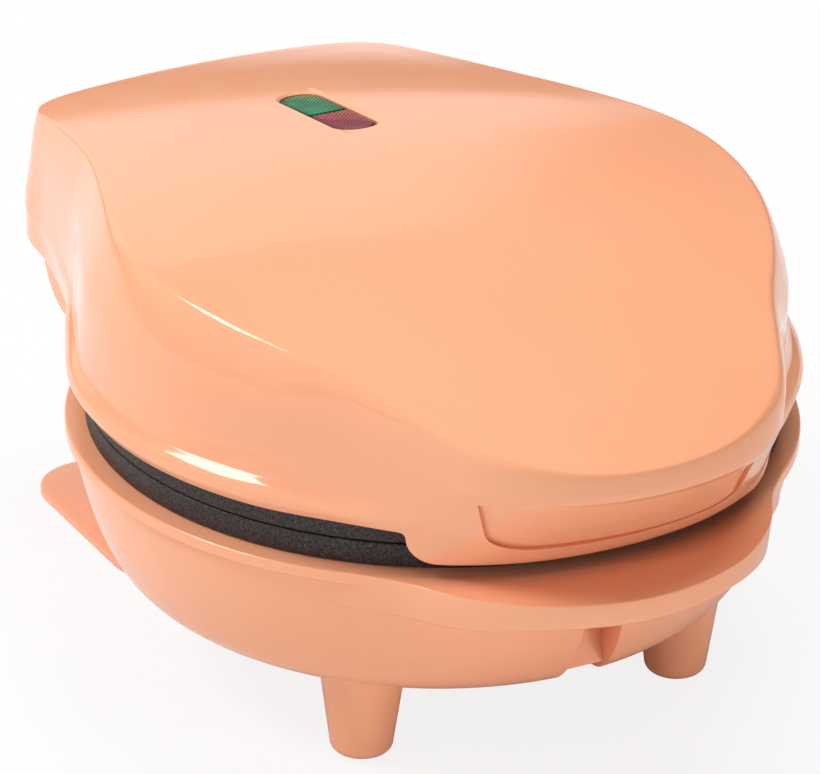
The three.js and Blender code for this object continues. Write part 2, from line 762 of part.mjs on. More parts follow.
function baseShell() {
  const bowl = turned(bowlProfile(0, bowlBottomZ, rimZ), roundSides);
  const rim = rod(rimRadius, rimZ - rimBand, rimZ, 0, 0, roundSides);
  const body = join([bowl, rim, frontLip(), hingeNeck(), ...sides.map(frontLeg)]);
  const roofZ = rimZ - rimBand - clearance;
  const floorZ = bowlBottomZ + wall / 2;
  const bossTopZ = bowlBottomZ + wall + overrun;
  const postTopZ = lowerFaceZ - plateThickness - sheet - 2 * clearance;
  const notchTopZ = rimZ - lipThickness;
  const screwEndZ = lowerFaceZ - screwSink - screwHeadHeight - plateScrewLength - clearance;

  const posts = lowerScrews.map(({ x, y }) => rod(postRadius, floorZ, postTopZ, x, y, postSides));
  const bosses = sides.map(({ sign }) => (
    rod(postRadius, floorZ, bossTopZ, sign * footScrewX, footScrewY, postSides)
  ));
  const terminalPost = rod(postRadius, floorZ, terminalZ - clearance, 0, terminalY, postSides);
  const notchWall = frontNotch(wall, grooveFloorY + wall, notchTopZ + wall / 2);
  const inner = turned(bowlProfile(wall, bowlBottomZ + wall, roofZ), roundSides);
  const room = cut(inner.add(wireDuct()), [...posts, ...bosses, terminalPost, notchWall, cordSaddle()]);
  const mouth = rod(plateOpening, roofZ - clearance, rimZ + overrun, 0, 0, roundSides);

  const padRecess = sides.map(({ sign }) => (
    rod(padRadius + clearance, -overrun, padThickness + clearance, sign * legX, legY)
  ));
  const plateHoles = lowerScrews.map(({ x, y }) => (
    rod(screwRadius + clearance, screwEndZ, postTopZ + overrun, x, y)
  ));
  const footHoles = sides.map(({ sign }) => (
    rod(screwRadius + clearance, 0, bossTopZ + overrun, sign * footScrewX, footScrewY)
  ));
  const terminalHole = rod(
    smallScrewRadius + clearance, bowlBottomZ + wall, terminalZ + overrun, 0, terminalY, tubeSides,
  );
  const pinHoleInnerX = pinInnerX - clearance;
  const pinHoleOuterX = barrelHalfWidth + overrun;
  const pinHoles = sides.map(({ sign }) => (
    rodAlongX(pinRadius + clearance, sign * pinHoleInnerX, sign * pinHoleOuterX, hingeY, hingeZ, screwSides)
  ));
  const notch = frontNotch(0, grooveFloorY, notchTopZ);
  const holes = [...padRecess, ...plateHoles, ...footHoles, terminalHole, ...pinHoles, glandBore()];
  return cut(body, [room, mouth, notch, ...sides.map(lugSlot), ...holes]);
}

function rearFoot() {
  const topZ = footProud + footThickness;
  const plate = roundedRectangle(-footHalfWidth, footHalfWidth, footFrontY, footBackY, footCorner);
  const column = roundedRectangle(-columnHalfWidth, columnHalfWidth, columnFrontY, columnBackY, columnCorner);
  const roomHalfWidth = columnHalfWidth - wall;
  const room = roundedRectangle(
    -roomHalfWidth, roomHalfWidth, columnFrontY + wall, columnBackY - wall, columnCorner - wall,
  );
  const roofZ = bowlBottomZ - clearance - wall;
  const headSeatZ = bowlBottomZ - clearance - footSeat;
  const columnTopZ = hingeZ - barrelRadius - clearance;
  const sleeveRadius = screwHeadRadius + clearance + wall;
  const sleeves = sides.map(({ sign }) => (
    rod(sleeveRadius, footProud, roofZ + wall, sign * footScrewX, footScrewY, postSides)
  ));
  const wells = sides.map(({ sign }) => (
    rod(screwHeadRadius + clearance, -overrun, headSeatZ, sign * footScrewX, footScrewY, postSides)
  ));
  const holes = sides.map(({ sign }) => (
    rod(screwRadius + clearance, 0, columnTopZ, sign * footScrewX, footScrewY)
  ));
  const pads = sides.map(({ sign }) => (
    rod(padRadius + clearance, -overrun, rearPadThickness + clearance, sign * rearPadX, rearPadY)
  ));
  const bowl = turned(bowlProfile(-clearance, bowlBottomZ, rimZ), roundSides, 0, 0, -clearance);
  const outer = prism(plate, footProud, topZ).add(prism(column, footProud, columnTopZ)).subtract(bowl);
  const hollow = outer.subtract(prism(room, -overrun, roofZ));
  return cut(join([hollow, ...sleeves]).subtract(bowl), [...wells, ...holes, ...pads]);
}

function cordGland() {
  const profile = [
    [cordRadius, -glandLength],
    [glandRadius, -glandLength],
    [glandRadius, clearance],
    [glandFlangeRadius, clearance],
    [glandFlangeRadius, clearance + glandFlange],
    [cordRadius, clearance + glandFlange],
    [cordRadius, -glandLength],
  ];
  return turned(profile, postSides);
}

function terminalBlock() {
  const block = box(
    -terminalHalfLength, terminalHalfLength, -terminalHalfWidth, terminalHalfWidth, 0, terminalHeight,
  );
  const mount = rod(smallScrewRadius + clearance, -overrun, terminalHeight + overrun, 0, 0, tubeSides);
  const ports = sides.map(({ sign }) => rodAlongY(
    terminalPortRadius, -terminalHalfWidth - overrun, terminalHalfWidth + overrun, sign * terminalPortX,
    terminalHeight / 2, tubeSides,
  ));
  const wellZ = terminalHeight - terminalWellDepth;
  const wells = sides.flatMap(({ sign }) => [-terminalWellY, terminalWellY].map((y) => (
    rod(terminalPortRadius, wellZ, terminalHeight + overrun, sign * terminalPortX, y, tubeSides)
  )));
  return cut(block, [mount, ...ports, ...wells]);
}

// Pieces of one heating half hang below a plate whose face is at z = 0.
const backZ = -plateThickness;
const seatZ = backZ - clearance;

function wafflePegs() {
  const reach = cavityRadius - waffleRib;
  const half = (waffleCell - waffleRib) / 2;
  const rows = Math.ceil(reach / waffleCell);
  const places = Array.from({ length: 2 * rows }, (_, i) => (i - rows) * waffleCell + waffleCell / 2);
  const lowZ = -cavityDepth - wafflePegRoot;
  const height = -waffleHeadroom - lowZ;
  const pegs = places.flatMap((x) => places.filter((y) => (
    Math.hypot(Math.abs(x) - half, Math.abs(y) - half) < reach - waffleRib
  )).map((y) => {
    const corner = Math.SQRT2 * half;
    const peg = new THREE.CylinderGeometry(corner - waffleTaper, corner, height, squareSides);
    peg.rotateX(Math.PI / 2).rotateZ(Math.PI / squareSides);
    return toSolid(peg.translate(x, y, lowZ + height / 2));
  }));
  return join(pegs).intersect(rod(reach, lowZ, 0, 0, 0, roundSides));
}

function cookingPlate(edgeHeight, screws, blindHoles) {
  const body = rod(plateBodyRadius, backZ, 0, 0, 0, roundSides);
  const edge = rod(plateRadius, -edgeHeight, 0, 0, 0, roundSides);
  const cavity = turned([
    [0, -cavityDepth],
    [cavityRadius - waffleTaper, -cavityDepth],
    [cavityRadius, 0],
    [cavityRadius, overrun],
    [0, overrun],
  ], roundSides);
  const headSeatZ = -screwSink - screwHeadHeight - clearance;
  const screwHoles = screws.flatMap(({ x, y }) => [
    rod(screwHeadRadius + clearance, headSeatZ, overrun, x, y, postSides),
    rod(screwRadius + clearance, backZ - overrun, overrun, x, y),
  ]);
  const blindZ = seatZ - sheet + clampScrewLength;
  const blind = blindHoles.map((x) => (
    rod(smallScrewRadius + clearance, backZ - overrun, blindZ, x, 0, tubeSides)
  ));
  return cut(body.add(edge).subtract(cavity).add(wafflePegs()), [...screwHoles, ...blind]);
}

// A tube bent to an open ring, with both ends leading out towards the hinge.
function heatingElement() {
  const z = seatZ - elementRadius;
  const half = elementGap / 2;
  const first = Math.asin((half + elementBend) / elementOrbit);
  const bends = Array.from({ length: elementPoints + 1 }, (_, i) => {
    const angle = first + 2 * (Math.PI - first) * i / elementPoints;
    return new THREE.Vector3(-elementOrbit * Math.sin(angle), elementOrbit * Math.cos(angle), z);
  });
  const tail = (x) => [
    new THREE.Vector3(x, elementOrbit + elementTail, z),
    new THREE.Vector3(x, elementOrbit + elementBend, z),
  ];
  const extrudePath = new THREE.CatmullRomCurve3([...tail(-half), ...bends, ...tail(half).reverse()]);
  const section = new THREE.Shape().absarc(0, 0, elementRadius, 0, 2 * Math.PI, false);
  const options = { extrudePath, steps: elementSteps, curveSegments: tubeSides / 2 };
  return toSolid(new THREE.ExtrudeGeometry(section, options));
}

function heatReflector(screws) {
  const lowZ = seatZ - panDepth;
  const pan = turned([
    [panHoleRadius, lowZ],
    [panRadius, lowZ],
    [panRadius, seatZ - sheet],
    [panFlangeRadius, seatZ - sheet],
    [panFlangeRadius, seatZ],
    [panRadius - sheet, seatZ],
    [panRadius - sheet, lowZ + sheet],
    [panHoleRadius, lowZ + sheet],
    [panHoleRadius, lowZ],
  ], panSides);
  const holes = screws.map(({ x, y }) => (
    rod(screwRadius + clearance, seatZ - overrun, seatZ + overrun, x, y)
  ));
  const halfNotch = elementGap / 2 + elementRadius + 2 * clearance;
  const notchBack = elementOrbit + elementTail + 2 * clearance;
  const notchBottom = seatZ - 2 * elementRadius - 2 * clearance;
  const notch = box(-halfNotch, halfNotch, elementOrbit, notchBack, notchBottom, seatZ + overrun);
  return cut(pan, [...holes, notch]);
}

// A bent strap with two feet that hangs from z = 0. It runs along X, with its width along Y.
function strap(halfGap, drop, gauge, foot, width) {
  const outer = halfGap + gauge;
  const end = outer + foot;
  const right = [
    [halfGap, -drop], [halfGap, 0], [end, 0], [end, -gauge], [outer, -gauge], [outer, -drop - gauge],
  ];
  const left = right.map(([x, z]) => [-x, z]).reverse();
  return frontPrism(outline([...right, ...left]), -width / 2, width / 2);
}

function footHole(x) {
  return rod(smallScrewRadius + clearance, -overrun, overrun, x, 0, tubeSides);
}

const elementStrapGap = elementRadius + 3 * clearance;
const elementStrapHoleX = elementStrapGap + sheet + strapFoot / 2;
const thermostatStrapHoleX = thermostatRadius + clearance + sheet + strapFoot / 2;
const fuseStrapHoleX = fuseRadius + clearance + sheet + strapFoot / 2;

function elementStrap() {
  const bent = strap(elementStrapGap, 2 * elementRadius + clearance, sheet, strapFoot, strapWidth);
  return bent.subtract(footHole(elementStrapHoleX));
}

function fuseStrap() {
  const bent = strap(fuseRadius + clearance, 2 * fuseRadius + clearance, sheet, strapFoot, strapWidth);
  return bent.subtract(footHole(fuseStrapHoleX));
}

function thermostatStrap() {
  const halfGap = thermostatRadius + clearance;
  const bent = strap(halfGap, thermostatHeight + clearance, sheet, strapFoot, strapWidth);
  const neck = rod(thermostatNeckRadius - clearance, -thermostatHeight - overrun, 0, 0, 0, legSides);
  return cut(bent, [footHole(thermostatStrapHoleX), footHole(-thermostatStrapHoleX), neck]);
}

function thermostat() {
  const neckZ = -thermostatHeight - thermostatNeckHeight;
  const can = rod(thermostatRadius, -thermostatHeight, 0, 0, 0, legSides);
  const neck = rod(thermostatNeckRadius - 2 * clearance, neckZ, -thermostatHeight, 0, 0, legSides);
  const blades = sides.map(({ sign }) => {
    const left = (sign * bladeSpacing - sheet) / 2;
    return box(left, left + sheet, -bladeWidth / 2, bladeWidth / 2, neckZ - bladeLength, neckZ + bladeLength / 2);
  });
  return join([can, neck, ...blades]);
}

// A screw that stands on its slotted head, which is under z = 0.
function screw(radius, headRadius, headHeight, length) {
  const head = rod(headRadius, -headHeight, 0);
  const shank = rod(radius, -headHeight / 2, length, 0, 0, shankSides);
  const half = screwSlotWidth / 2;
  const slotZ = -headHeight + screwSlotDepth;
  const slot = box(-half, half, -headRadius - overrun, headRadius + overrun, -headHeight - overrun, slotZ);
  return head.add(shank).subtract(slot);
}

// Colours
const peach = { color: 0xf0a580, roughness: 0.3, metalness: 0 };
const coating = { color: 0x38332f, roughness: 0.55, metalness: 0.3 };
const steel = { color: 0xb9bcc0, roughness: 0.35, metalness: 1 };
const sheath = { color: 0x6d6f72, roughness: 0.5, metalness: 1 };
const rubber = { color: 0x2a2a2a, roughness: 0.9, metalness: 0 };
const ivory = { color: 0xe6dfcf, roughness: 0.6, metalness: 0 };
const greenLens = { color: 0x0f7a48, roughness: 0.15, metalness: 0 };
const redLens = { color: 0xa3182c, roughness: 0.15, metalness: 0 };
const lampGlass = { color: 0xe9d9c4, roughness: 0.1, metalness: 0 };

function add(parent, name, solid, look, place = [0, 0, 0], turn = [0, 0, 0]) {
  const mesh = new THREE.Mesh(toGeometry(solid), new THREE.MeshStandardMaterial(look));
  mesh.name = name;
  mesh.position.set(...place);
  mesh.rotation.set(...turn);
  parent.add(mesh);
}

function addGroup(parent, place = [0, 0, 0], turn = [0, 0, 0]) {
  const group = new THREE.Group();
  group.position.set(...place);
  group.rotation.set(...turn);
  parent.add(group);
  return group;
}

const upsideDown = [0, Math.PI, 0];

// The flip is -1 for the half that hangs face down in the lid.
function addHeatingHalf(parent, level, flip, faceZ, edgeHeight, worldScrews, middleHoles) {
  const half = addGroup(parent, [0, 0, faceZ], flip < 0 ? upsideDown : [0, 0, 0]);
  const screws = worldScrews.map(({ name, x, y }) => ({ name, x: flip * x, y }));
  const strapX = elementOrbit + elementStrapHoleX;
  const plate = cookingPlate(edgeHeight, screws, [-strapX, strapX, ...middleHoles]);
  add(half, `${level}_cooking_plate`, plate, coating);
  add(half, `${level}_heating_element`, heatingElement(), sheath);
  add(half, `${level}_heat_reflector`, heatReflector(screws), steel);
  sides.forEach(({ name, sign }) => {
    const x = sign * flip;
    const turn = [0, 0, x < 0 ? Math.PI : 0];
    add(half, `${level}_element_strap_${name}`, elementStrap(), steel, [x * elementOrbit, 0, seatZ], turn);
    addStrapScrew(half, `${level}_strap_screw_${name}`, x * strapX);
  });
  screws.forEach(({ name, x, y }) => {
    const body = screw(screwRadius, screwHeadRadius, screwHeadHeight, plateScrewLength);
    add(half, `${level}_plate_screw_${name}`, body, steel, [x, y, -screwSink - screwHeadHeight], upsideDown);
  });
  return half;
}

function addStrapScrew(parent, name, x) {
  const body = screw(smallScrewRadius, smallHeadRadius, smallHeadHeight, clampScrewLength);
  add(parent, name, body, steel, [x, 0, seatZ - sheet - clearance]);
}

function addLid(parent) {
  const lid = addGroup(parent);
  add(lid, 'lid_shell', lidShell(), peach);
  const upper = addHeatingHalf(lid, 'upper', -1, upperFaceZ, upperEdgeHeight, upperScrews, [fuseStrapHoleX]);
  const fuse = rodAlongY(fuseRadius, -fuseLength / 2, fuseLength / 2, 0, 0);
  add(upper, 'thermal_fuse', fuse, ivory, [0, 0, seatZ - fuseRadius]);
  add(upper, 'fuse_strap', fuseStrap(), steel, [0, 0, seatZ]);
  addStrapScrew(upper, 'fuse_strap_screw', fuseStrapHoleX);

  const frame = addGroup(lid, [0, windowY, windowZ], [windowTilt, 0, 0]);
  const lampZ = holderBottom + holderWall + clearance + lampRadius;
  const lampY = windowHalfLength / 2;
  add(frame, 'green_lamp_lens', lens(1), greenLens);
  add(frame, 'red_lamp_lens', lens(-1), redLens);
  add(frame, 'lamp_holder', lampHolder(), ivory);
  add(frame, 'green_neon_lamp', lamp(), lampGlass, [0, lampY, lampZ]);
  add(frame, 'red_neon_lamp', lamp(), lampGlass, [0, -lampY, lampZ]);
}

function addBase(parent) {
  const base = addGroup(parent);
  add(base, 'base_shell', baseShell(), peach);
  add(base, 'rear_foot', rearFoot(), peach);
  const strapHoles = [-thermostatStrapHoleX, thermostatStrapHoleX];
  const lower = addHeatingHalf(base, 'lower', 1, lowerFaceZ, lowerEdgeHeight, lowerScrews, strapHoles);
  add(lower, 'thermostat', thermostat(), sheath, [0, 0, seatZ]);
  add(lower, 'thermostat_strap', thermostatStrap(), steel, [0, 0, seatZ]);
  sides.forEach(({ name, sign }) => {
    addStrapScrew(lower, `thermostat_screw_${name}`, sign * thermostatStrapHoleX);
    const pin = rodAlongX(pinRadius, sign * pinInnerX, sign * pinOuterX, hingeY, hingeZ);
    add(base, `hinge_pin_${name}`, pin, steel);
    add(base, `front_foot_pad_${name}`, rod(padRadius, 0, padThickness), rubber, [sign * legX, legY, 0]);
    const rearPad = rod(padRadius, 0, rearPadThickness);
    add(base, `rear_foot_pad_${name}`, rearPad, rubber, [sign * rearPadX, rearPadY, 0]);
    const footScrew = screw(screwRadius, screwHeadRadius, screwHeadHeight, footScrewLength);
    const headZ = bowlBottomZ - footSeat - 2 * clearance;
    add(base, `rear_foot_screw_${name}`, footScrew, steel, [sign * footScrewX, footScrewY, headZ]);
  });

  const terminal = addGroup(base, [0, terminalY, terminalZ]);
  const terminalScrew = screw(smallScrewRadius, smallHeadRadius, smallHeadHeight, terminalScrewLength);
  add(terminal, 'terminal_block', terminalBlock(), ivory);
  add(terminal, 'terminal_block_screw', terminalScrew, steel, [0, 0, terminalHeight + clearance], upsideDown);

  const entry = addGroup(base, [0, 0, 0], [0, 0, glandTurn]);
  const clampZ = saddleTopZ + clearance;
  add(entry, 'cord_gland', cordGland(), rubber, [0, glandOut, glandZ], [-Math.PI / 2 - glandLean, 0, 0]);
  const clamp = strap(cordRadius, 2 * cordRadius - clearance, cordClampGauge, cordClampFoot, saddleDepth);
  const drilled = cut(clamp, [footHole(cordScrewX), footHole(-cordScrewX)]);
  add(entry, 'cord_clamp', drilled, ivory, [0, saddleOrbit, clampZ], upsideDown);
  sides.forEach(({ name, sign }) => {
    const body = screw(smallScrewRadius, smallHeadRadius, smallHeadHeight, cordScrewLength);
    const place = [sign * cordScrewX, saddleOrbit, clampZ + cordClampGauge + clearance];
    add(entry, `cord_clamp_screw_${name}`, body, steel, place, upsideDown);
  });
}

// The origin is on the table under the middle of the whole length.
const wholeMachine = new THREE.Group();
const machine = addGroup(wholeMachine, [0, (noseReach - tailReach) / 2, 0]);
addBase(machine);
addLid(machine);

export default wholeMachine;
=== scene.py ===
# The looks of a small round waffle maker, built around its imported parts.
import bisect
import json
import math

import bmesh
import bpy
from mathutils import Matrix, Vector


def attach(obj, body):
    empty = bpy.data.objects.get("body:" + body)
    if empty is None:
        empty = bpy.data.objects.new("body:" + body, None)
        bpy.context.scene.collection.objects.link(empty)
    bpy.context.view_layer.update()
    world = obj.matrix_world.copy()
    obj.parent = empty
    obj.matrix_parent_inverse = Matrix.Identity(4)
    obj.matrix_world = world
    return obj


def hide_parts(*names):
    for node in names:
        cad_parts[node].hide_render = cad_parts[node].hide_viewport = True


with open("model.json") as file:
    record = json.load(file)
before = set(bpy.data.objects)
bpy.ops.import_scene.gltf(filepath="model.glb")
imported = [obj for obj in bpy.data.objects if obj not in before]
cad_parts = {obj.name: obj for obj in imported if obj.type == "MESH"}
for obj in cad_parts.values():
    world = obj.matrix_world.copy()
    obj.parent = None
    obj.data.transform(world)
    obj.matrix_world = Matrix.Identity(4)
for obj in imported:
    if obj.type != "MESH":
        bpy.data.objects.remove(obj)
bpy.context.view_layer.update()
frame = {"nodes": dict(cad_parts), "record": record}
nodes = frame["nodes"]
print("frame loaded:", len(nodes), "nodes")

# Lengths below are millimetres from the middle of the cooking plates.
plateCentreY = -12.75
toRow = Matrix.Scale(0.001, 4) @ Matrix.Translation((0, plateCentreY, 0))
fullTurn = 2 * math.pi


def smoothStep(low, high, value):
    share = min(1, max(0, (value - low) / (high - low)))
    return share * share * (3 - 2 * share)


def mix(a, b, share):
    return a + (b - a) * share


def vertsOf(made):
    return [v for v in made["geom"] if isinstance(v, bmesh.types.BMVert)]


def edgesOf(made):
    return [e for e in made["geom"] if isinstance(e, bmesh.types.BMEdge)]


def sharpEdges(bm, degrees=30):
    sharp = math.radians(degrees)
    return [e for e in bm.edges if e.is_manifold and e.calc_face_angle() > sharp]


def bevelEdges(bm, edges, width, segments=3):
    bmesh.ops.bevel(bm, geom=edges, offset=width, segments=segments, profile=0.5,
                    affect="EDGES", material=-1, clamp_overlap=True)


def outwards(bm):
    bmesh.ops.recalc_face_normals(bm, faces=bm.faces)
    return bm


# A profile of (radius, height) pairs, spun a full turn about the upright axis.
def spun(profile, steps, x=0, y=0):
    bm = bmesh.new()
    verts = [bm.verts.new((r, 0, h)) for r, h in profile]
    edges = [bm.edges.new(pair) for pair in zip(verts, verts[1:])]
    bmesh.ops.spin(bm, geom=verts + edges, cent=(0, 0, 0), axis=(0, 0, 1),
                   angle=fullTurn, steps=steps, use_merge=True)
    bmesh.ops.remove_doubles(bm, verts=bm.verts, dist=1e-4)
    outwards(bm)
    bmesh.ops.translate(bm, vec=(x, y, 0), verts=bm.verts)
    return bm


def cylinder(radius, z0, z1, steps, x=0, y=0):
    return spun([(0, z0), (radius, z0), (radius, z1), (0, z1)], steps, x, y)


# Two upright cylinders, one on each side.
def twoCylinders(radius, z0, z1, steps, x, y):
    return [cylinder(radius, z0, z1, steps, sign * x, y) for sign in (-1, 1)]


def block(x0, x1, y0, y1, z0, z1):
    bm = bmesh.new()
    size = Matrix.Diagonal((x1 - x0, y1 - y0, z1 - z0, 1))
    middle = Matrix.Translation(((x0 + x1) / 2, (y0 + y1) / 2, (z0 + z1) / 2))
    bmesh.ops.create_cube(bm, size=1, matrix=middle @ size)
    return bm


# A block with rounded upright corners and softened top and bottom edges.
def softBlock(x0, x1, y0, y1, z0, z1, corner, edge, cornerSegments):
    bm = block(x0, x1, y0, y1, z0, z1)
    upright = [e for e in bm.edges if abs((e.verts[0].co - e.verts[1].co).z) > 1e-6]
    bevelEdges(bm, upright, corner, cornerSegments)
    if edge:
        flat = [e for e in bm.edges if e.calc_face_angle() > 1.2]
        bevelEdges(bm, flat, edge)
    return bm


# A flat outline of (a, b), extruded from one depth to another. A swizzle of (a, b, depth) gives
# the axes: "xyz" draws it from above, "xzy" from the front and "zxy" from the side.
def extruded(points, low, high, axes):
    bm = bmesh.new()
    face = bm.faces.new([bm.verts.new(getattr(Vector((a, b, low)), axes)) for a, b in points])
    moved = vertsOf(bmesh.ops.extrude_face_region(bm, geom=[face]))
    step = Vector((0, 0, high)) - Vector((0, 0, low))
    bmesh.ops.translate(bm, vec=getattr(step, axes), verts=moved)
    return outwards(bm)


def arc(cx, cy, radius, start, end, steps):
    turns = [math.radians(mix(start, end, i / steps)) for i in range(steps + 1)]
    return [(cx + radius * math.cos(t), cy + radius * math.sin(t)) for t in turns]


# A smooth line through points, closed or open, with even speed at each of them.
def splined(points, steps, closed=False):
    count = len(points)
    at = (lambda i: points[i % count]) if closed else (lambda i: points[min(max(i, 0), count - 1)])
    line = []
    for i in range(count if closed else count - 1):
        p0, p1, p2, p3 = (Vector(at(k)) for k in (i - 1, i, i + 1, i + 2))
        d1 = max((p2 - p1).length ** 0.5, 1e-6)
        d0 = (p1 - p0).length ** 0.5 or d1
        d2 = (p3 - p2).length ** 0.5 or d1
        t1 = ((p1 - p0) / d0 - (p2 - p0) / (d0 + d1) + (p2 - p1) / d1) * d1
        t2 = ((p2 - p1) / d1 - (p3 - p1) / (d1 + d2) + (p3 - p2) / d2) * d1
        for k in range(steps):
            t = k / steps
            a = 2 * t ** 3 - 3 * t ** 2 + 1
            b = t ** 3 - 2 * t ** 2 + t
            c = 3 * t ** 2 - 2 * t ** 3
            d = t ** 3 - t ** 2
            line.append(tuple(p1 * a + t1 * b + p2 * c + t2 * d))
    return line if closed else line + [tuple(points[-1])]


def newObject(name, data):
    made = bpy.data.objects.new(name, data)
    bpy.context.scene.collection.objects.link(made)
    return made


def asObject(bm, name):
    mesh = bpy.data.meshes.new(name)
    bm.to_mesh(mesh)
    bm.free()
    return newObject(name, mesh)


# The mesh of an object with its modifiers worked in.
def workedIn(made):
    bpy.context.view_layer.update()
    graph = bpy.context.evaluated_depsgraph_get()
    mesh = bpy.data.meshes.new_from_object(made.evaluated_get(graph))
    bm = bmesh.new()
    bm.from_mesh(mesh)
    bpy.data.objects.remove(made)
    bpy.data.meshes.remove(mesh)
    return bm


def combined(bm, others, operation):
    base = asObject(bm, "work")
    tools = [asObject(other, "tool") for other in others]
    for tool in tools:
        step = base.modifiers.new("combine", "BOOLEAN")
        step.operation = operation
        step.solver = "EXACT"
        step.object = tool
    result = workedIn(base)
    for tool in tools:
        bpy.data.objects.remove(tool)
    return result


def cutBy(bm, others):
    return combined(bm, others, "DIFFERENCE")


def joinedTo(bm, others):
    return combined(bm, others, "UNION")


def beside(bm, others):
    for other in others:
        mesh = bpy.data.meshes.new("part")
        other.to_mesh(mesh)
        other.free()
        bm.from_mesh(mesh)
        bpy.data.meshes.remove(mesh)
    return bm


def subdivided(bm, levels):
    made = asObject(bm, "work")
    step = made.modifiers.new("smooth", "SUBSURF")
    step.levels = step.render_levels = levels
    return workedIn(made)


# Takes a finished mesh in millimetres into the row frame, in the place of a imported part.
def finishPiece(name, bm, material, body, stands, smoothAngle=35):
    bmesh.ops.dissolve_degenerate(bm, edges=bm.edges, dist=0.002)  # slivers left by the cuts
    bmesh.ops.transform(bm, matrix=toRow, verts=bm.verts)
    made = asObject(bm, name)
    made.data.polygons.foreach_set("use_smooth", [True] * len(made.data.polygons))
    made.data.set_sharp_from_angle(angle=math.radians(smoothAngle))
    made.data.materials.append(material)
    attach(made, body)
    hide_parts(stands)


class Shade:
    # A socket of one material's node tree that can be used in sums.
    def __init__(self, tree, socket=None):
        self.tree = tree
        self.socket = socket

    # Links what varies to a node's sockets, and sets what is the same everywhere.
    def fill(self, made, inputs):
        for key, value in inputs.items():
            if isinstance(value, Shade):
                self.tree.links.new(value.socket, made.inputs[key])
            else:
                made.inputs[key].default_value = value

    def node(self, kind, settings, inputs, output=0):
        made = self.tree.nodes.new(kind)
        for key, value in settings.items():
            setattr(made, key, value)
        self.fill(made, inputs)
        return Shade(self.tree, made.outputs[output])

    def maths(self, operation, first, second=0.0):
        return self.node("ShaderNodeMath", {"operation": operation}, {0: first, 1: second})

    def __add__(self, other):
        return self.maths("ADD", self, other)

    def __radd__(self, other):
        return self.maths("ADD", other, self)

    def __sub__(self, other):
        return self.maths("SUBTRACT", self, other)

    def __rsub__(self, other):
        return self.maths("SUBTRACT", other, self)

    def __mul__(self, other):
        return self.maths("MULTIPLY", self, other)

    def __rmul__(self, other):
        return self.maths("MULTIPLY", other, self)

    def __truediv__(self, other):
        return self.maths("DIVIDE", self, other)

    def __abs__(self):
        return self.maths("ABSOLUTE", self)

    # From 0 at low to 1 at high, with soft ends.
    def smooth(self, low, high):
        return self.node("ShaderNodeMapRange", {"interpolation_type": "SMOOTHSTEP"},
                         {"Value": self, "From Min": low, "From Max": high})

    def noise(self, coords, scale, detail=2.0, roughness=0.5):
        return self.node("ShaderNodeTexNoise", {}, {
            "Vector": coords, "Scale": scale, "Detail": detail, "Roughness": roughness})

    def axis(self, coords, i):
        return self.node("ShaderNodeSeparateXYZ", {}, {"Vector": coords}, i)

    def blend(self, share, first, second):
        return self.node("ShaderNodeMix", {"data_type": "RGBA"},
                         {0: share, 6: first, 7: second}, 2)

    def bump(self, height, strength, distance):
        return self.node("ShaderNodeBump", {}, {
            "Height": height, "Strength": strength, "Distance": distance})


def linear(red, green, blue):
    def one(value):
        share = value / 255
        return share / 12.92 if share <= 0.04045 else ((share + 0.055) / 1.055) ** 2.4
    return (one(red), one(green), one(blue), 1)


def startMaterial(name):
    made = bpy.data.materials.new(name)
    made.use_nodes = True
    shade = Shade(made.node_tree)
    coords = shade.node("ShaderNodeTexCoord", {}, {}, "Object")
    return made, made.node_tree.nodes["Principled BSDF"], shade, coords


# In the looks, a noise is (scale, detail, roughness) and a bump is (strength, depth in metres).
peachPlastic = {
    "tone": linear(245, 171, 132), "warmTone": linear(244, 167, 127), "flow": (9, 3),
    "flowRange": (0.35, 0.7), "roughness": 0.09, "smear": (60, 4, 0.6), "smearRange": (0.4, 0.7),
    "smearRoughness": 0.04, "pits": (900, 2), "bump": (0.02, 0.0002), "ior": 1.5,
}


def makePeach():
    look = peachPlastic
    made, shader, shade, coords = startMaterial("peach_plastic")
    flow, pits, smear = (shade.noise(coords, *look[name]) for name in ("flow", "pits", "smear"))
    smeared = smear.smooth(*look["smearRange"])
    shade.fill(shader, {
        "Base Color": shade.blend(flow.smooth(*look["flowRange"]), look["tone"], look["warmTone"]),
        "Roughness": look["roughness"] + look["smearRoughness"] * smeared,
        "Normal": shade.bump(pits, *look["bump"]), "IOR": look["ior"]})
    return made


# Cast metal with a dark coating: streaks of grain, and specks where the coat is thin.
coatedMetal = {
    "dark": linear(22, 19, 20), "light": linear(70, 62, 63), "worn": linear(176, 168, 164),
    "turn": (math.radians(40), math.radians(-40), 0), "stretch": (1, 1, 0.16),
    "grain": (1900, 3, 0.7), "grainRange": (0.36, 0.66), "speck": (3200, 1),
    "speckRange": (0.66, 0.74), "speckShare": 0.35, "speckHeight": 0.5, "roughness": 0.42,
    "grainRoughness": 0.2, "bump": (0.5, 0.00015), "metallic": 0.25, "ior": 1.5,
}


def makeCoated():
    look = coatedMetal
    made, shader, shade, coords = startMaterial("coated_metal")
    turned = shade.node("ShaderNodeMapping", {}, {"Vector": coords, "Rotation": look["turn"]})
    stretched = shade.node("ShaderNodeMapping", {}, {"Vector": turned, "Scale": look["stretch"]})
    grain = shade.noise(stretched, *look["grain"])
    speck = shade.noise(coords, *look["speck"])
    tint = shade.blend(grain.smooth(*look["grainRange"]), look["dark"], look["light"])
    worn = speck.smooth(*look["speckRange"]) * look["speckShare"]
    shade.fill(shader, {
        "Base Color": shade.blend(worn, tint, look["worn"]),
        "Roughness": look["roughness"] + look["grainRoughness"] * grain,
        "Normal": shade.bump(grain + look["speckHeight"] * speck, *look["bump"]),
        "Metallic": look["metallic"], "IOR": look["ior"]})
    return made


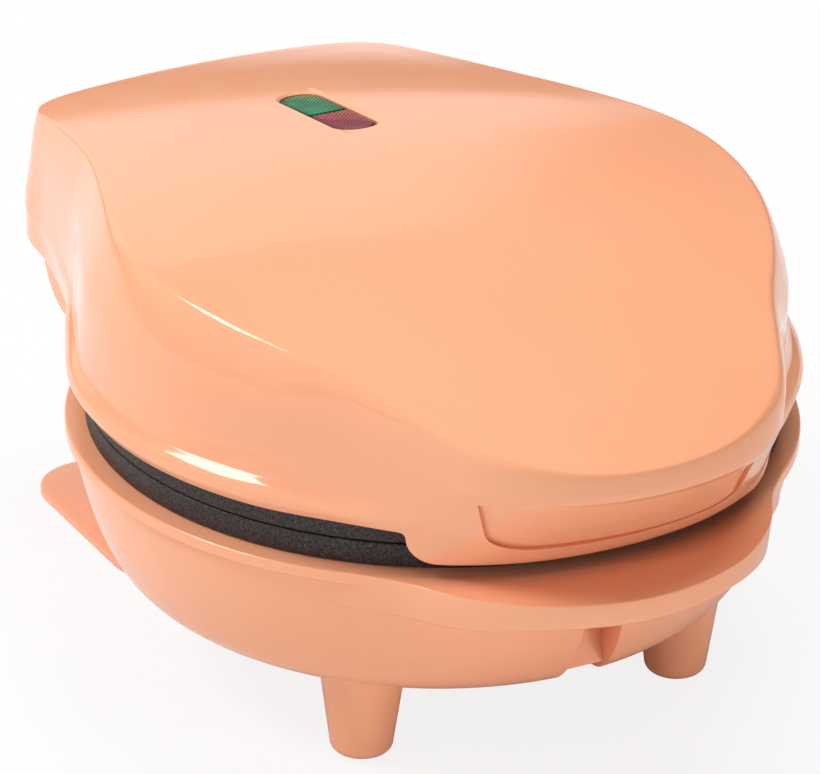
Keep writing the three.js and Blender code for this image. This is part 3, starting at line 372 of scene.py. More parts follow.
drawnSteel = {
    "stainShade": 0.72, "stain": (45, 3), "stainRange": (0.3, 0.75), "stainRoughness": -0.05,
    "grain": (2600, 3, 0.6), "stretch": (1, 0.08, 1), "grainRoughness": 0.16,
    "bump": (0.15, 0.0001), "fixed": {"Metallic": 1.0},
}
padRubber = {
    "tone": linear(38, 37, 36), "stainTone": linear(88, 84, 80), "roughness": 0.75,
    "stain": (120, 4, 0.65), "stainRange": (0.5, 0.8), "stainShare": 0.5, "stainRoughness": 0.15,
    "grain": (1800, 3), "bump": (0.3, 0.0002),
}
ivoryInsulator = {
    "tone": linear(232, 224, 206), "stainTone": linear(214, 200, 174), "roughness": 0.5,
    "stain": (70, 4), "stainRange": (0.45, 0.8), "stainRoughness": 0.15,
    "grain": (1300, 2), "bump": (0.12, 0.0002),
}
smokyGlass = {
    "tone": linear(236, 226, 210), "stainTone": linear(196, 176, 150), "roughness": 0.06,
    "stain": (300, 2), "stainRange": (0.4, 0.8), "stainRoughness": 0.06,
    "fixed": {"Transmission Weight": 0.6, "IOR": 1.5},
}


# A tone under a broad stain, with a fine grain that can be drawn out along an axis.
def makePlain(name, look):
    made, shader, shade, coords = startMaterial(name)
    stain = shade.noise(coords, *look["stain"])
    stained = stain.smooth(*look["stainRange"]) * look.get("stainShare", 1.0)
    roughness = look["roughness"] + look["stainRoughness"] * stain
    if "grain" in look:
        stretch = {"Vector": coords, "Scale": look.get("stretch", (1, 1, 1))}
        grain = shade.noise(shade.node("ShaderNodeMapping", {}, stretch), *look["grain"])
        roughness = roughness + look.get("grainRoughness", 0.0) * grain
        shade.fill(shader, {"Normal": shade.bump(grain, *look["bump"])})
    colour = shade.blend(stained, look["tone"], look["stainTone"])
    shade.fill(shader, {"Base Color": colour, "Roughness": roughness, **look.get("fixed", {})})
    return made


def makeSteel(name, tone, roughness):
    darker = tuple(drawnSteel["stainShade"] * c for c in tone[:3]) + (1,)
    return makePlain(name, {**drawnSteel, "tone": tone, "stainTone": darker,
                            "roughness": roughness})


# Clear tinted plastic with a lattice of small pyramids moulded underneath. The lit and shaded
# # facets of the pyramids are painted into the tint. Painted shade darkens it at the rim of the
# # window and at the seam between the lenses, whose places are in metres.
lensPlastic = {
    "cell": 0.0009, "turn": (0, 0, math.radians(45)), "rowRange": (0.15, 0.6), "rowShare": 0.6,
    "haze": (160, 3), "hazeRange": (0.3, 0.7), "hazeShare": 0.45,
    "middleY": 0.04425, "straight": 0.0136, "rimRange": (0.0038, 0.0048), "rimShadeShare": 0.75,
    "seamRange": (0.0003, 0.0011), "seamShadeShare": 0.6,
    "roughness": 0.05, "hazeRoughness": 0.05, "bump": (0.12, 0.0004), "ior": 1.49, "specular": 0.18,
}


def makeLens(name, deep, bright):
    look = lensPlastic
    made, shader, shade, coords = startMaterial(name)
    across, along = (shade.axis(coords, i) for i in (0, 1))
    fromSeam = abs(along - look["middleY"])
    past = shade.maths("MAXIMUM", fromSeam - look["straight"], 0)
    fromMiddle = shade.maths("SQRT", across * across + past * past)
    # Painted shade darkens the tint at the rim of the window and at the seam between the lenses.
    rimShade = 1 - fromMiddle.smooth(*look["rimRange"]) * look["rimShadeShare"]
    seam = 1 - look["seamShadeShare"] + look["seamShadeShare"] * fromSeam.smooth(*look["seamRange"])
    turned = shade.node("ShaderNodeMapping", {}, {"Vector": coords, "Rotation": look["turn"]})
    rows, files = (abs(shade.maths("FRACT", shade.axis(turned, i) / look["cell"]) - 0.5) * 2
                   for i in (0, 1))
    pyramid = shade.maths("MINIMUM", rows, files)
    # Painted highlight and painted shade of the moulded pyramids' facets, lighter along the rows
    # and at the peaks.
    facetLight = rows.smooth(*look["rowRange"]) * look["rowShare"] + pyramid * (1 - look["rowShare"])
    haze = shade.noise(coords, *look["haze"])
    clear = 1 - look["hazeShare"] + look["hazeShare"] * haze.smooth(*look["hazeRange"])
    shade.fill(shader, {
        "Base Color": shade.blend(facetLight * rimShade * seam * clear, deep, bright),
        "Roughness": look["roughness"] + look["hazeRoughness"] * haze,
        "Normal": shade.bump(pyramid, *look["bump"]),
        "IOR": look["ior"], "Specular IOR Level": look["specular"]})
    return made


peach = makePeach()
coated = makeCoated()
steel = makeSteel("bright_steel", linear(200, 201, 203), 0.24)
sheath = makeSteel("element_sheath", linear(122, 120, 122), 0.36)
rubber = makePlain("pad_rubber", padRubber)
insulator = makePlain("ivory_insulator", ivoryInsulator)
greenLens = makeLens("green_lens", linear(1, 62, 36), linear(16, 160, 98))
redLens = makeLens("red_lens", linear(70, 2, 12), linear(184, 24, 50))
lampGlass = makePlain("lamp_glass", smokyGlass)
slotLooks = {
    "shell_plastic": peach, "coated_plate": coated, "element_sheath": sheath,
    "bright_steel": steel, "pad_rubber": rubber, "insulator": insulator,
    "green_lens": greenLens, "red_lens": redLens, "lamp_glass": lampGlass,
}
for row in frame["record"]["subparts"]:
    node = nodes[row["node"]]
    node.data.materials.clear()
    node.data.materials.append(slotLooks[row["material_slot"]])
print("materials made:", len(slotLooks))

# Each ring runs from the nose round to the tail, in thousandths of half width, reach and height.
# A point without a height has its ring's level. Bearings are radians from the nose.
lid = {
    "halfWidth": 91.3, "noseReach": 112.5, "tailReach": 138, "height": 124.6,
    "crownY": 15, "fallFront": 29, "fallBack": 21, "fallSide": 8.3, "backPower": 1.5,
    "trueShares": (0.86, 0.93), "wall": 2.8, "hemZ": 74, "chinZ": 65.8, "chinEndY": -77.4,
    "cornerReach": 8, "nookReach": 1.6, "roundNose": 0.4, "roundSide": 0.26, "roundRise": 0.6,
    "tightBearings": (0.55, 1.0), "rollStart": (0.65, 0.95), "rollEnd": (2.2, 2.5),
    "tailCutY": 52, "tailBlendY": 84, "tailFrontZ": 70.5, "tailBackZ": 66.5,
    "edgeSoftness": 0.35, "skinShares": (0.3, 0.75), "underWaist": 0.8, "waistToBrow": (0.2, 0.7),
    "rolls": ((0.5, 1.2), (0.78, 0.6), (0.93, 0.1)), "roundShares": (0.35, 0.62, 0.82),
    "domeShares": (0.985, 0.94, 0.84, 0.66, 0.46, 0.26, 0.08), "innerDomeShares": (0.8, 0.4, 0.08),
    "innerBulge": 6.3, "columns": 72, "levels": 2, "nookClear": 0.02,
    "nookColumns": (8.5, 6, 4, 2.4, 1.2, 0.45, 0.12, 0, -0.12, -0.5, -1.1, -1.8, -3),
    "ridge": [
        (0, -990), (241, -956), (427, -844), (515, -720), (591, -596), (729, -427), (838, -213),
        (876, 0), (843, 145), (756, 319), (671, 486), (619, 638), (583, 783), (556, 872),
        (485, 922), (241, 936), (0, 938)],
    "browLevel": 823, "brow": [
        (0, -1000, 734), (244, -967, 737), (444, -862, 782), (542, -733, 795), (644, -592, 797),
        (796, -420, 811), (912, -210, 819), (953, 0), (922, 159), (818, 333), (718, 493),
        (652, 645, 819), (600, 786, 810), (565, 880, 803), (490, 943, 797), (241, 957, 800),
        (0, 960, 801)],
    "waistLevel": 698, "waist": [
        (0, -998, 718), (244, -965, 719), (430, -872, 730), (528, -740, 722), (635, -597, 706),
        (796, -415), (920, -207), (954, 0), (929, 163), (829, 337), (728, 498), (656, 653),
        (604, 790), (573, 892), (498, 961), (241, 973), (0, 976)],
    "shoulderLevel": 658, "shoulder": [
        (0, -983, 706), (241, -953, 706), (418, -865, 702), (515, -738, 664), (635, -600, 650),
        (808, -425), (932, -208), (965, 0), (933, 166), (832, 336), (728, 495), (658, 653),
        (606, 792), (577, 897), (501, 972), (241, 984), (0, 987)],
    "beadLevel": 618, "bead": [
        (0, -902), (241, -875), (416, -816), (533, -712), (673, -602), (844, -436), (965, -217),
        (1000, 0), (967, 171), (855, 344), (737, 501), (660, 656), (605, 793), (578, 902),
        (502, 979), (241, 991), (0, 994)],
    "hem": [
        (0, -876), (241, -850), (416, -793), (533, -700), (672, -577), (825, -427), (942, -213),
        (978, 0), (945, 169), (841, 341), (734, 493), (657, 645), (600, 787), (570, 905),
        (498, 984), (241, 998), (0, 1000)],
    "chinFront": [(0, -820), (241, -798), (416, -745), (533, -687)],
}


def crownHeight(x, y):
    top = lid["crownY"]
    if y < top:
        share = (top - y) / (top + lid["noseReach"])
        along = lid["fallFront"] * share ** 2
    else:
        share = (y - top) / (lid["tailReach"] - top)
        along = lid["fallBack"] * share ** lid["backPower"]
    return lid["height"] - along - lid["fallSide"] * (x / lid["halfWidth"]) ** 2


def bearingOf(x, y):
    return math.atan2(x, -y) % fullTurn


# How far a bearing is from the nose, on either side.
def turnFromNose(bearing):
    return min(bearing, fullTurn - bearing)


# The radius and height of a closed ring at any bearing about the upright axis.
def ringOf(points, level=0, height=None):
    half = []
    for x, y, *high in points:
        reach = lid["noseReach"] if y < 0 else lid["tailReach"]
        z = (high[0] if high else level) / 1000 * lid["height"]
        half.append((x / 1000 * lid["halfWidth"], y / 1000 * reach, z))
    other = [(-x, y, z) for x, y, z in reversed(half[1:-1])]
    line = splined(half + other, 12, closed=True)
    turns = [bearingOf(x, y) for x, y, z in line]
    turns[0] = 0

    def at(bearing):
        low = bisect.bisect_right(turns, bearing) - 1
        a, b = line[low], line[(low + 1) % len(line)]
        end = turns[low + 1] if low + 1 < len(line) else fullTurn
        share = (bearing - turns[low]) / max(end - turns[low], 1e-9)
        x, y, z = (mix(a[i], b[i], share) for i in range(3))
        return math.hypot(x, y), height(x, y) if height else z
    return at


ridge = ringOf(lid["ridge"], height=crownHeight)
brow = ringOf(lid["brow"], lid["browLevel"])
waist = ringOf(lid["waist"], lid["waistLevel"])
shoulder = ringOf(lid["shoulder"], lid["shoulderLevel"])
bead = ringOf(lid["bead"], lid["beadLevel"])
hem = ringOf(lid["hem"], height=lambda x, y: lid["hemZ"])
chin = ringOf(lid["chinFront"] + lid["hem"][4:], height=lambda x, y: lid["chinZ"])


def betweenRings(low, high, share):
    def at(bearing):
        a, b = low(bearing), high(bearing)
        return mix(a[0], b[0], share), mix(a[1], b[1], share)
    return at


# The outer skin between the chin's edge and the bead, at any height.
def skinRadius(bearing, z):
    low, middle, high = chin(bearing), hem(bearing), bead(bearing)
    if z < middle[1]:
        return mix(low[0], middle[0], (z - low[1]) / (middle[1] - low[1]))
    return mix(middle[0], high[0], min(1, (z - middle[1]) / (high[1] - middle[1])))


fineTurns = [i / 2000 for i in range(2000)]
chinTurn = next(t for t in fineTurns if -hem(t)[0] * math.cos(t) > lid["chinEndY"])
chinRadius = hem(chinTurn)[0]


# How far along the skin a bearing is from the chin's end, towards the nose.
def chinShare(bearing):
    return (chinTurn - turnFromNose(bearing)) * chinRadius


# How far a quarter circle has risen, as a share of its radius.
def quarterRise(share):
    return 1 - math.sqrt(max(0, 1 - share ** 2))


def lowerEdge(bearing):
    chinZ, hemZ, nook, blendY = (lid[key] for key in ("chinZ", "hemZ", "nookReach", "tailBlendY"))
    along = chinShare(bearing)
    y = -hem(bearing)[0] * math.cos(bearing)
    if along > 0:
        share = max(0, 1 - along / lid["cornerReach"])
        return chinZ + (hemZ - nook - chinZ) * quarterRise(share)
    if along > -nook:
        return hemZ - nook * quarterRise(1 + along / nook)
    if y > blendY:
        share = (y - blendY) / (lid["tailReach"] - blendY)
        return mix(lid["tailFrontZ"], lid["tailBackZ"], share)
    return mix(hemZ, lid["tailFrontZ"], smoothStep(lid["tailCutY"], blendY, y))


def lowRing(rise, inset):
    def at(bearing):
        z = lowerEdge(bearing) + rise
        return skinRadius(bearing, z) - inset, z
    return at


def skinRing(share):
    def at(bearing):
        z = mix(lowerEdge(bearing), bead(bearing)[1], share)
        return skinRadius(bearing, z), z
    return at


# The rolled flange above the bead, along the body's sides alone.
def rollRing(share, bulge):
    def at(bearing):
        turn = turnFromNose(bearing)
        full = smoothStep(*lid["rollStart"], turn) * (1 - smoothStep(*lid["rollEnd"], turn))
        radius, z = betweenRings(bead, shoulder, share)(bearing)
        return radius + bulge * full, z
    return at


# The rounding between the brow and the ridge, broad at the nose and tight elsewhere.
def roundRing(share):
    def at(bearing):
        r0, z0 = brow(bearing)
        r3, z3 = ridge(bearing)
        tight = smoothStep(*lid["tightBearings"], turnFromNose(bearing))
        r2 = r3 + mix(lid["roundNose"], lid["roundSide"], tight) * (r0 - r3)
        z2 = crownHeight(r2 * math.sin(bearing), -r2 * math.cos(bearing))
        rise = lid["roundRise"]
        r1, z1 = mix(r0, r2, rise * tight), mix(z0, z2, rise)
        t, s = share, 1 - share
        weights = (s ** 3, 3 * s ** 2 * t, 3 * s * t ** 2, t ** 3)
        return (sum(w * r for w, r in zip(weights, (r0, r1, r2, r3))),
                sum(w * z for w, z in zip(weights, (z0, z1, z2, z3))))
    return at


def domeRing(share, drop=0):
    def at(bearing):
        radius = (ridge(bearing)[0] - drop) * share
        x, y = radius * math.sin(bearing), -radius * math.cos(bearing)
        return radius, crownHeight(x, y) - drop
    return at


def insetRing(ring, inset, drop=0):
    def at(bearing):
        radius, z = ring(bearing)
        return min(radius, bead(bearing)[0] + lid["innerBulge"]) - inset, z - drop
    return at


# The bearings of the mesh's columns: even along the bead, and close together at the chin's end.
def lidColumns():
    steps = 1440
    turns = [math.pi * i / steps for i in range(steps + 1)]
    spots = [Vector((bead(t)[0] * math.sin(t), bead(t)[0] * math.cos(t))) for t in turns]
    lengths = [0]
    for a, b in zip(spots, spots[1:]):
        lengths.append(lengths[-1] + (b - a).length)
    half = []
    for i in range(lid["columns"] + 1):
        goal = lengths[-1] * i / lid["columns"]
        half.append(turns[min(range(steps + 1), key=lambda k: abs(lengths[k] - goal))])
    near = [chinTurn - along / chinRadius for along in lid["nookColumns"]]
    low, high = near[0] - lid["nookClear"], near[-1] + lid["nookClear"]
    half = sorted([t for t in half if not low < t < high] + near)
    return half + [fullTurn - t for t in reversed(half[1:-1])]


def moveToRing(verts, ring):
    for v in verts:
        bearing = bearingOf(v.co.x, v.co.y)
        if fullTurn - bearing < 1e-5:
            bearing = 0
        radius, z = ring(bearing)
        v.co = (radius * math.sin(bearing), -radius * math.cos(bearing), z)


def startLoop(bm, ring):
    columns = lidColumns()
    circle = bmesh.ops.create_circle(bm, segments=len(columns), radius=1)["verts"]
    for v, bearing in zip(circle, columns):
        v.co = (math.sin(bearing), -math.cos(bearing), 0)
    moveToRing(circle, ring)
    return list(bm.edges)


# Draws a loop of edges on through the rings, and gives the last loop.
def drawnThrough(bm, edges, rings):
    for ring in rings:
        made = bmesh.ops.extrude_edge_only(bm, edges=edges)
        moveToRing(vertsOf(made), ring)
        ends = set(vertsOf(made))
        edges = [e for e in edgesOf(made) if set(e.verts) <= ends]
    return edges


# One closed skin: up the outside, over the crown, and the same way back inside.
def lidSkin():
    wall, soft = lid["wall"], lid["edgeSoftness"]
    bm = bmesh.new()
    outside = [lowRing(0, soft), lowRing(soft, 0)]
    outside += [skinRing(share) for share in lid["skinShares"]] + [bead]
    outside += [rollRing(share, bulge) for share, bulge in lid["rolls"]]
    outside += [shoulder, betweenRings(shoulder, waist, lid["underWaist"]), waist]
    outside += [betweenRings(waist, brow, share) for share in lid["waistToBrow"]] + [brow]
    outside += [roundRing(share) for share in lid["roundShares"]] + [ridge]
    outside += [domeRing(share) for share in lid["domeShares"]]
    inside = [lowRing(0, wall - soft), lowRing(soft, wall)]
    inside += [insetRing(bead, wall), insetRing(waist, wall)]
    inside += [insetRing(brow, wall, wall), insetRing(ridge, wall, wall)]
    inside += [domeRing(share, wall) for share in lid["innerDomeShares"]]
    first = startLoop(bm, outside[0])
    for rings in (outside[1:], inside):
        last = drawnThrough(bm, first, rings)
        top = {v for e in last for v in e.verts}
        z = sum(v.co.z for v in top) / len(top)
        made = bmesh.ops.extrude_edge_only(bm, edges=last)
        bmesh.ops.pointmerge(bm, verts=vertsOf(made), merge_co=(0, 0, z))
    return subdivided(outwards(bm), lid["levels"])


# Puts the top of the crown exactly on its smooth form.
def trueCrown(bm):
    for v in bm.verts:
        radius = math.hypot(v.co.x, v.co.y)
        edge = ridge(bearingOf(v.co.x, v.co.y))[0]
        share = 1 - smoothStep(*lid["trueShares"], radius / edge)
        z = crownHeight(v.co.x, v.co.y)
        if share > 0 and v.co.z > z - lid["wall"] / 2:
            v.co.z = mix(v.co.z, z, share)


# The finger recess under the nose. Its outline, seen from the front, runs down the left, along
# the bottom and up the right, and its lower part grows shallow towards the right.
recess = {
    "outline": [
        (-40.6, 87.3), (-38.4, 80.5), (-36.9, 77), (-35, 74.8), (-31.5, 72.9), (-27, 71.7),
        (-22, 71.2), (-8, 71.2), (8, 71.2), (20, 71.2), (26, 71.5), (29.4, 72.7), (30.6, 75),
        (30.3, 79), (28.6, 87.3)],
    "depth": 1.5, "shallow": 0.45, "shallowBearings": (-0.25, 0.25),
    "clear": 7, "lowZ": 60, "highZ": 92, "slabY": (-125, -60), "steps": 4,
}


# A slab as wide as the outline, whose inner face follows the chin's skin at the recess's depth.
def recessCutter():
    depth, clear, lowZ, highZ = (recess[key] for key in ("depth", "clear", "lowZ", "highZ"))

    def fading(bearing):
        turn = bearing if bearing < math.pi else bearing - fullTurn
        return -mix(depth, recess["shallow"], smoothStep(*recess["shallowBearings"], turn))

    def offset(ring, out=None, z=None):
        def at(bearing):
            radius, high = ring(bearing)
            return radius + (fading(bearing) if out is None else out), high if z is None else z
        return at

    rings = [offset(chin, clear, lowZ), offset(shoulder, clear, highZ),
             offset(shoulder, -depth, highZ), offset(shoulder, -depth), offset(bead, -depth),
             offset(hem), offset(chin), offset(chin, z=lowZ)]
    bm = bmesh.new()
    first = startLoop(bm, rings[0])
    last = drawnThrough(bm, first, rings[1:])
    bmesh.ops.bridge_loops(bm, edges=first + last)
    slab = extruded(splined(recess["outline"], recess["steps"]), *recess["slabY"], "xzy")
    return combined(outwards(bm), [slab], "INTERSECT")


# The window for the lamps, with heights from the crown's surface.
window = {
    "y": 57, "halfWidth": 5.9, "halfLength": 19.5, "endFlat": 0.3, "cornerSegments": 16,
    "flare": 0.9, "flareFoot": -0.5, "cut": (-9, 6),
    "lensTop": -0.45, "lensFoot": -4.2, "lensGap": 0.25, "lensRound": 0.8,
}
windowFrontZ, windowBackZ = (
    crownHeight(0, window["y"] + side * window["halfLength"]) for side in (-1, 1))
windowTilt = math.atan2(windowBackZ - windowFrontZ, 2 * window["halfLength"])
windowPlace = (Matrix.Translation((0, window["y"], (windowFrontZ + windowBackZ) / 2))
               @ Matrix.Rotation(windowTilt, 4, "X"))


def windowSlug(grow, z0, z1):
    across, along = window["halfWidth"] + grow, window["halfLength"] + grow
    return softBlock(-across, across, -along, along, z0, z1,
                     across - window["endFlat"], 0, window["cornerSegments"])


def windowCutter():
    flare, (low, high) = window["flare"], window["cut"]
    straight, top = windowSlug(0, low, high), windowSlug(0, window["flareFoot"], high)
    upper = [v for v in top.verts if v.co.z > 0]
    for v in upper:
        v.co.z = flare
    wider = Vector((1 + 2 * flare / window["halfWidth"], 1 + 2 * flare / window["halfLength"], 1))
    bmesh.ops.scale(top, vec=wider, verts=upper)
    for bm in (straight, top):
        bmesh.ops.transform(bm, matrix=windowPlace, verts=bm.verts)
    return [straight, top]


hinge = {
    "y": 110, "z": 65.5, "barrelRadius": 17, "barrelHalfWidth": 47, "barrelRound": 1.2,
    "neckFrontY": 43, "lugInnerX": 29, "lugWidth": 7.4, "lugRadius": 8.5, "lugTopWidth": 20,
    "lugRound": 0.5, "lugRoundTopZ": 90, "slotClear": 0.3, "slotFrontClear": 0.6, "slotPast": 5,
    "neckRoundFrontY": 60, "pinRadius": 2.8, "pinHalfHole": 60, "pinSteps": 24,
}


def pinHole():
    half = hinge["pinHalfHole"]
    bm = cylinder(hinge["pinRadius"], -half, half, hinge["pinSteps"])
    across = Matrix.Rotation(math.pi / 2, 3, "Y")
    bmesh.ops.rotate(bm, cent=(0, 0, 0), matrix=across, verts=bm.verts)
    bmesh.ops.translate(bm, vec=(0, hinge["y"], hinge["z"]), verts=bm.verts)
    return bm


def lidLug(sign):
    innerX, outerX = hinge["lugInnerX"], hinge["lugInnerX"] + hinge["lugWidth"]
    half = hinge["lugTopWidth"] / 2
    points = arc(hinge["y"], hinge["z"], hinge["lugRadius"], 180, 360, 20)
    for y in (hinge["y"] + half, hinge["y"] - half):
        points.append((y, crownHeight(outerX, y) - lid["wall"] / 2))
    bm = extruded(points, sign * innerX, sign * outerX, "zxy")
    low = [e for e in sharpEdges(bm) if max(v.co.z for v in e.verts) < hinge["lugRoundTopZ"]]
    bevelEdges(bm, low, hinge["lugRound"], 2)
    return cutBy(bm, [pinHole()])


def buildLid():
    bm = lidSkin()
    trueCrown(bm)
    bm = cutBy(bm, windowCutter() + [recessCutter()])
    beside(bm, [lidLug(-1), lidLug(1)])
    finishPiece("lid_cover", bm, peach, "lid", "lid_shell")


buildLid()
print("lid built")


# Each lens is the half of the window's slug on its own side of the seam.
def buildLens(colour, sign, look):
    gap, topZ = window["lensGap"], window["lensTop"]
    near, far = sorted((sign * gap / 2, sign * 40))
    keep = block(-20, 20, near, far, -20, 20)
    bm = combined(windowSlug(-gap, window["lensFoot"], topZ), [keep], "INTERSECT")
    top = [e for e in sharpEdges(bm, 40) if all(v.co.z > topZ - 0.01 for v in e.verts)]
    bevelEdges(bm, top, window["lensRound"], 4)
    bmesh.ops.transform(bm, matrix=windowPlace, verts=bm.verts)
    finishPiece(f"{colour}_lens_window", bm, look, "lid", f"{colour}_lamp_lens")


buildLens("green", 1, greenLens)
buildLens("red", -1, redLens)
print("lenses built")

# The bowl's side runs from the bottom up, as shares of radius and rise. The band's underside is
# (out from the bowl, up) and then twice (out from the rim, up). The notch's floor is (y, z), and
# each of its walls is (half a width at notchFootZ, loss per millimetre of height).
base = {
    "rimRadius": 91.2, "rimZ": 62, "rimBand": 3.4, "rimRound": 0.7,
    "bandStart": (0.3, 0.1), "bandEdge": ((-0.5, 0.2), (0, 0.6)),
    "bowlRadius": 89.6, "bowlBottomZ": 22, "wall": 2.8, "steps": 160,
    "mouthRadius": 84.3, "mouthZ": 58, "mouthLap": 0.5, "sideLap": 1, "belowZ": -5, "aboveZ": 80,
    "side": [
        (0.737, 0), (0.82, 0.03), (0.875, 0.13), (0.918, 0.3), (0.951, 0.5), (0.98, 0.75), (1, 1)],
    "notchFloor": [
        (-66, 0), (-66, 25), (-76.3, 26.4), (-75.1, 31.4), (-74.3, 36), (-73.8, 42.5),
        (-78.5, 44.5)],
    "notchLeft": (6.5, 0.06), "notchRight": (5.9, 0.035),
    "notchFrontY": -105, "notchFootZ": 25, "notchLap": 0.6, "notchOver": 2,
}
lip = {
    "reach": 110.8, "halfWidth": 52.5, "thickness": 7.2, "edge": 0.4, "lowEdge": 1.3,
    "deeper": 3, "deeperFrom": (22, 50), "draft": 0.01, "freeY": -50,
    "root": [(20, -30), (-20, -30)],
    "outline": [
        (0, 1), (0.18, 0.992), (0.36, 0.968), (0.51, 0.937), (0.64, 0.895), (0.75, 0.849),
        (0.83, 0.805), (0.89, 0.764), (0.935, 0.728), (0.98, 0.698), (1.04, 0.667), (1.11, 0.634),
        (1.17, 0.598), (1.22, 0.561), (1.26, 0.522), (1.27, 0.5)],
}
leg = {
    "x": 44.35, "y": -47.1, "bottomRadius": 7.8, "topRadius": 10.8, "round": 2.6, "steps": 48,
    "bottomZ": 0.5, "topZ": 25, "padRadius": 4.9, "padTopZ": 2.9, "padSteps": 32,
}


def bowlSide(inset):
    rise = base["rimZ"] - base["rimBand"] - base["bowlBottomZ"]
    points = [(r * base["bowlRadius"], base["bowlBottomZ"] + z * rise) for r, z in base["side"]]
    line = splined(points, 5)
    out = []
    for i, (r, z) in enumerate(line):
        a, b = line[max(i - 1, 0)], line[min(i + 1, len(line) - 1)]
        slope = math.hypot(b[0] - a[0], b[1] - a[1])
        out.append((r - inset * (b[1] - a[1]) / slope, z + inset * (b[0] - a[0]) / slope))
    return out


def bowlSolid():
    rim, top, soft = base["rimRadius"], base["rimZ"], base["rimRound"]
    foot = top - base["rimBand"]
    profile = [(0, base["bowlBottomZ"])] + bowlSide(0)
    profile += [(profile[-1][0] + base["bandStart"][0], foot + base["bandStart"][1])]
    profile += [(rim + out, foot + up) for out, up in base["bandEdge"]]
    profile += arc(rim - soft, top - soft, soft, 0, 90, 5) + [(0, top)]
    return spun(profile, base["steps"])


def bowlHollow():
    floorZ, topZ = base["bowlBottomZ"] + base["wall"], base["mouthZ"]
    inner = [(r, max(z, floorZ)) for r, z in bowlSide(base["wall"]) if z < topZ - base["sideLap"]]
    profile = [(0, floorZ)] + inner + [(inner[-1][0], topZ), (0, topZ)]
    return spun(profile, base["steps"] // 2)


def lipSolid():
    right = [(x * lip["halfWidth"], -y * lip["reach"]) for x, y in lip["outline"]]
    left = [(-x, y) for x, y in reversed(right[1:])]
    points = splined(left + right, 6) + lip["root"]
    top = base["rimZ"]
    bm = extruded(points, top - lip["thickness"], top, "xyz")
    for v in bm.verts:
        if v.co.z < top - 1 and v.co.y < lip["freeY"]:
            v.co.z -= lip["deeper"] * smoothStep(*lip["deeperFrom"], abs(v.co.x))
            v.co.x *= 1 - lip["draft"]
            v.co.y *= 1 - lip["draft"]
    rim = [e for e in bm.edges
           if e.calc_face_angle() > 1.2 and all(v.co.y < lip["freeY"] for v in e.verts)]
    upper = [e for e in rim if all(v.co.z > top - 1 for v in e.verts)]
    lower = [e for e in rim if all(v.co.z < top - 1 for v in e.verts)]
    bevelEdges(bm, upper, lip["edge"], 3)
    bevelEdges(bm, [e for e in lower if e.is_valid], lip["lowEdge"], 4)
    return bm


def legSolid(sign):
    low, soft, radius = leg["bottomZ"], leg["round"], leg["bottomRadius"]
    profile = [(0, low)] + arc(radius - soft, low + soft, soft, -90, 0, 7)
    profile += [(leg["topRadius"], leg["topZ"]), (0, leg["topZ"])]
    return spun(profile, leg["steps"], sign * leg["x"], leg["y"])


def hingeNeck():
    y, z, radius = hinge["y"], hinge["z"], hinge["barrelRadius"]
    front, half = hinge["neckFrontY"], hinge["barrelHalfWidth"]
    points = [(front, z - radius), (y, z - radius)] + arc(y, z, radius, -90, 180, 40)[1:]
    points += [(y - radius, base["rimZ"]), (front, base["rimZ"])]
    bm = extruded(points, -half, half, "zxy")
    ends = [e for e in sharpEdges(bm, 60) if abs(e.verts[0].co.x - e.verts[1].co.x) < 1e-6
            and all(v.co.y > hinge["neckRoundFrontY"] for v in e.verts)]
    bevelEdges(bm, ends, hinge["barrelRound"], 3)
    return bm


# The upright notch under the lip, whose floor leans. Grown, it shapes the wall inside.
def notchCutter(grow, topZ):
    floor = [(y + grow, z + (grow if z > 0 else 0)) for y, z in base["notchFloor"]]
    front = base["notchFrontY"]
    points = [(front, 0)] + floor + [(floor[-1][0], topZ), (front, topZ)]
    bm = extruded(points, -1, 1, "zxy")
    for v in bm.verts:
        wide, lean = base["notchLeft"] if v.co.x < 0 else base["notchRight"]
        v.co.x *= wide - lean * (v.co.z - base["notchFootZ"]) + grow
    return bm


def lugSlot(sign):
    near = sign * (hinge["lugInnerX"] - hinge["slotClear"])
    far = sign * (hinge["lugInnerX"] + hinge["lugWidth"] + hinge["slotClear"])
    front = hinge["y"] - hinge["lugRadius"] - hinge["slotFrontClear"]
    reach = hinge["barrelRadius"] + hinge["slotPast"]
    return block(min(near, far), max(near, far), front, hinge["y"] + reach,
                 hinge["z"] - reach, hinge["z"] + reach)


def buildBase():
    notchTopZ = base["rimZ"] - lip["thickness"] + base["notchLap"]
    hollow = cutBy(bowlHollow(), [notchCutter(base["wall"], notchTopZ + base["notchOver"])])
    mouth = cylinder(base["mouthRadius"], base["mouthZ"] - base["mouthLap"], base["aboveZ"],
                     base["steps"])
    pads = twoCylinders(leg["padRadius"], base["belowZ"], leg["padTopZ"], leg["padSteps"],
                        leg["x"], leg["y"])
    bm = joinedTo(bowlSolid(), [lipSolid(), hingeNeck(), legSolid(-1), legSolid(1)])
    bm = cutBy(bm, [hollow, mouth, notchCutter(0, notchTopZ),
                    lugSlot(-1), lugSlot(1), pinHole()] + pads)
    finishPiece("base_bowl", bm, peach, "base", "base_shell")


buildBase()
print("base built")

# The cutters and sleeves are (radius, bottom, top), and the bowl is cut out with a small gap.
foot = {
    "halfWidth": 57, "frontY": 50, "backY": 119, "proud": 0.6, "thickness": 2.4, "corner": 14,
    "edge": 0.8, "cornerSteps": 14, "columnHalfWidth": 34, "columnFrontY": 57, "columnBackY": 98,
    "columnCorner": 10, "columnTopZ": 48.2, "columnLap": 0.4, "wall": 2.8, "roofZ": 18.9,
    "roomSteps": 10, "bowlGap": 0.3, "bowlSteps": 96, "screwX": 20, "screwY": 66,
    "sleeve": (6.8, 0.8, 19.9), "well": (4, -5, 16.7), "hole": (2.3, -5, 60), "holeSteps": 40,
    "padX": 43, "padY": 104, "pad": (4.9, -5, 1.9),
}


